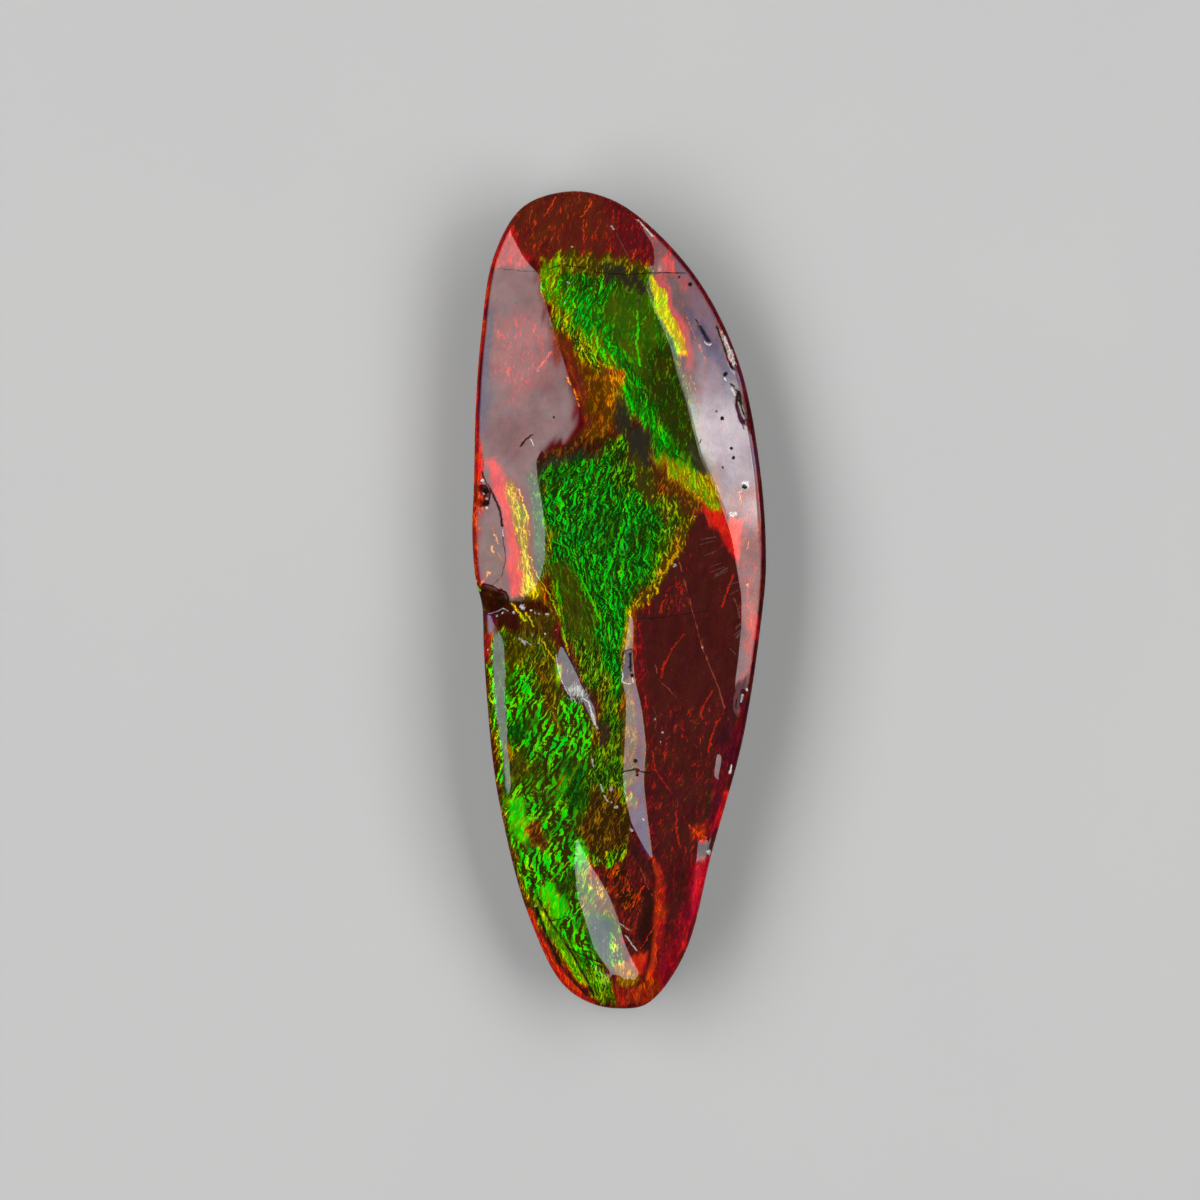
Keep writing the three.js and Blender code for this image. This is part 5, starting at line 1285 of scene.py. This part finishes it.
def layerSide(shader, fields, colour, place):
    # a thin skin of play near the face, over dark layered shale
    layerPlace = shader.vector("MULTIPLY", place, ammolite["layerWaves"])
    layers = shader.noise(layerPlace, 1.0, 4.0, 0.65, 0.3)
    clayShare = layers.rising(*ammolite["clayLayers"])
    clay = shader.mix(clayShare, ammolite["darkClay"], ammolite["lightClay"])
    skinEnd = shader.noise(place, 0.8) * ammolite["skinDepth"]
    bare = (fields.drop - skinEnd).rising(*ammolite["bareSkin"]) * fields.side
    flaked = fields.side.rising(0.9, 1) * layers.rising(*ammolite["flakedLayers"]) * 0.9
    return bare, shader.mix(bare.most(flaked), colour, clay)


def polishFace(shader, fields, weave, crack, bare, place):  # the share of the clear coat
    clouds = shader.noise(place, 0.45, 5.0, 0.72).risingFrom(*ammolite["bloomClouds"])
    strands = weave.grainy.rising(*ammolite["bloomStrands"]) * -0.14 + weave.grain * 0.26 + 0.93
    rolled = 1.0 - fields.side.rising(0.02, 0.3) * 0.97
    return fields.gloss * clouds * strands * (1.0 - crack) * rolled * (1.0 - bare * 0.6)


def makeAmmolite():
    shader = Shader(bpy.data.materials.new("ammolite"))
    here = shader.add("ShaderNodeTexCoord", output="Object")
    place = shader.vector("SCALE", here, Scale=1 / mm)
    flat = shader.vector("MULTIPLY", place, (1, 1, 0))
    wobble = stray(shader, flat, 4.0, 2.0, ammolite["wobble"])
    wobbled = shader.vector("MULTIPLY", shader.vector("ADD", flat, wobble), (1, 1, 0))
    frayed = shader.vector("MULTIPLY", shader.vector("ADD", wobbled, wobble), (1, 1, 0))
    fields = SimpleNamespace(**{name: shader.field(name) for name in (*usual, "side", "drop")})

    weave = weaveFibres(shader, fields)
    flash, bright = flashFace(shader, fields, weave, frayed)
    colour = shader.mix(flash, groundFace(shader, fields, weave), bright)
    colour = shader.mix(fields.slate, colour, ammolite["slate"])
    colour = scratchFace(shader, fields, weave, colour, flat, wobbled, frayed)
    crack, colour = crackFace(shader, fields, weave, colour, place, wobbled)
    bare, colour = layerSide(shader, fields, colour, place)
    bump = {
        "Strength": ammolite["bumpStrength"],
        "Distance": ammolite["bumpDistance"],
        "Height": weave.medium + weave.patch * 0.6,
    }
    return shader.finish({
        "Base Color": colour,
        "Metallic": ammolite["metallic"],
        "Roughness": ammolite["roughness"],
        "Specular IOR Level": 0.0,
        "Coat Weight": polishFace(shader, fields, weave, crack, bare, place),
        "Coat Roughness": ammolite["coatRoughness"],
        "Coat IOR": ammolite["coatIor"],
        "Normal": shader.add("ShaderNodeBump", None, bump),
    })


studio = {
    "cameraHeight": 0.45,  # m above the widest outline
    "mmPerPixel": 0.06,
    "imagePixels": 1200,
    "offsetX": -1.14,  # mm, the camera stands this far to the side of the stone
    "sensor": 36,
    "lampDistance": 0.6,
    "lampSize": (0.37, 0.94),  # across, and along the stone
    "coreAcross": 0.73,  # the hot spot of the right box, as shares of its size
    "coreAlong": 0.545,
    "coreSpread": 0.036,
    "dimmerFrom": (0.43, 0.54),
    "softboxes": [
        {"name": "leftSoftbox", "azimuth": 180, "zenith": 41, "radiance": 3.25},
        {"name": "rightSoftbox", "azimuth": 14, "zenith": 42, "radiance": 3.5, "dimmer": 1.6, "core": 8},
    ],
    "skyColour": (0.9, 0.95, 1, 1),
    "skyStrength": 0.04,
    "floorSize": 3.0,
    "floorGap": 0.00002,
    "floorTints": ((0.54, 0.54, 0.54, 1), (0.57, 0.57, 0.56, 1)),
}


def aimFromZenith(azimuth, zenith, distance):
    a, z = math.radians(azimuth), math.radians(zenith)
    return Vector((math.sin(z) * math.cos(a), math.sin(z) * math.sin(a), math.cos(z))) * distance


def addSoftbox(name, azimuth, zenith, radiance, dimmer=0, core=0):
    # core is a hot spot off the middle of the box, and dimmer fades the end beyond it
    deselectAll()
    place = aimFromZenith(azimuth, zenith, studio["lampDistance"])
    bpy.ops.object.light_add(type="AREA", location=place)
    lamp = bpy.context.object
    lamp.name = name
    lamp.data.shape = "RECTANGLE"
    lamp.data.size, lamp.data.size_y = width, length = studio["lampSize"]
    lamp.data.energy = math.pi * width * length
    # the lamp's z axis points away from the stone, and its y axis runs along the stone
    back = place.normalized()
    along = Vector((-math.sin(math.radians(azimuth)), math.cos(math.radians(azimuth)), 0))
    turned = lamp.matrix_world.to_3x3()
    turned.col[0], turned.col[1], turned.col[2] = along.cross(back), along, back
    lamp.rotation_euler = turned.to_euler()

    shader = Shader(lamp.data)
    spot = shader.add("ShaderNodeNewGeometry", output="Parametric")
    u, v = shader.part(spot, 0), shader.part(spot, 1)
    strength = radiance
    if core:
        fromCore = ((u - studio["coreAcross"]) * width) ** 2.0
        fromCore = fromCore + ((v - studio["coreAlong"]) * length) ** 2.0
        spread = 2 * studio["coreSpread"] ** 2
        strength = (fromCore / -spread).math("EXPONENT") * core + radiance
        strength = strength - v.rising(*studio["dimmerFrom"]) * dimmer
    emission = shader.add("ShaderNodeEmission", None, {"Strength": strength})
    shader.add("ShaderNodeOutputLight", None, {"Surface": emission})


def makeFloor():
    deselectAll()
    place = (0, 0, -studio["floorGap"])
    bpy.ops.mesh.primitive_plane_add(size=studio["floorSize"], location=place)
    floor = bpy.context.object
    floor.name = "floor"
    shader = Shader(bpy.data.materials.new("paleFloor"))
    mottle = shader.noise(shader.add("ShaderNodeTexCoord", output="Object"), 40.0, 3.0)
    tint = shader.mix(mottle, *studio["floorTints"])
    floor.data.materials.append(shader.finish({"Base Color": tint, "Roughness": 0.8}))


def makeStudio():
    makeFloor()
    for softbox in studio["softboxes"]:
        addSoftbox(**softbox)

    world = bpy.data.worlds.new("studioWorld")
    bpy.context.scene.world = world
    world.use_nodes = True
    sky = world.node_tree.nodes["Background"].inputs
    sky["Color"].default_value = studio["skyColour"]
    sky["Strength"].default_value = studio["skyStrength"]

    waist = stone["thickness"] * stone["waistShare"] * mm
    place = (studio["offsetX"] * mm, 0, waist + studio["cameraHeight"])
    bpy.ops.object.camera_add(location=place, rotation=(0, 0, 0))
    camera = bpy.context.object
    camera.data.sensor_width = studio["sensor"]
    shown = studio["imagePixels"] * studio["mmPerPixel"] * mm
    camera.data.lens = studio["sensor"] * studio["cameraHeight"] / shown
    camera.data.clip_start = 0.01
    bpy.context.scene.camera = camera
    bpy.context.scene.view_settings.view_transform = "Standard"
    print("studio is up")


makeStudio()
specimen, places, ring, rimTop = makeStone()
print("stone shaped:", len(specimen.data.polygons), "faces")
storeFields(specimen, places, ring, rimTop)
print("fields painted")
deselectAll()
specimen.select_set(True)
bpy.context.view_layer.objects.active = specimen
bpy.ops.object.shade_smooth_by_angle(angle=math.radians(stone["smoothAngle"]))
specimen.data.materials.append(makeAmmolite())
print("material made")
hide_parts("ammolite")
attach(specimen, "root")
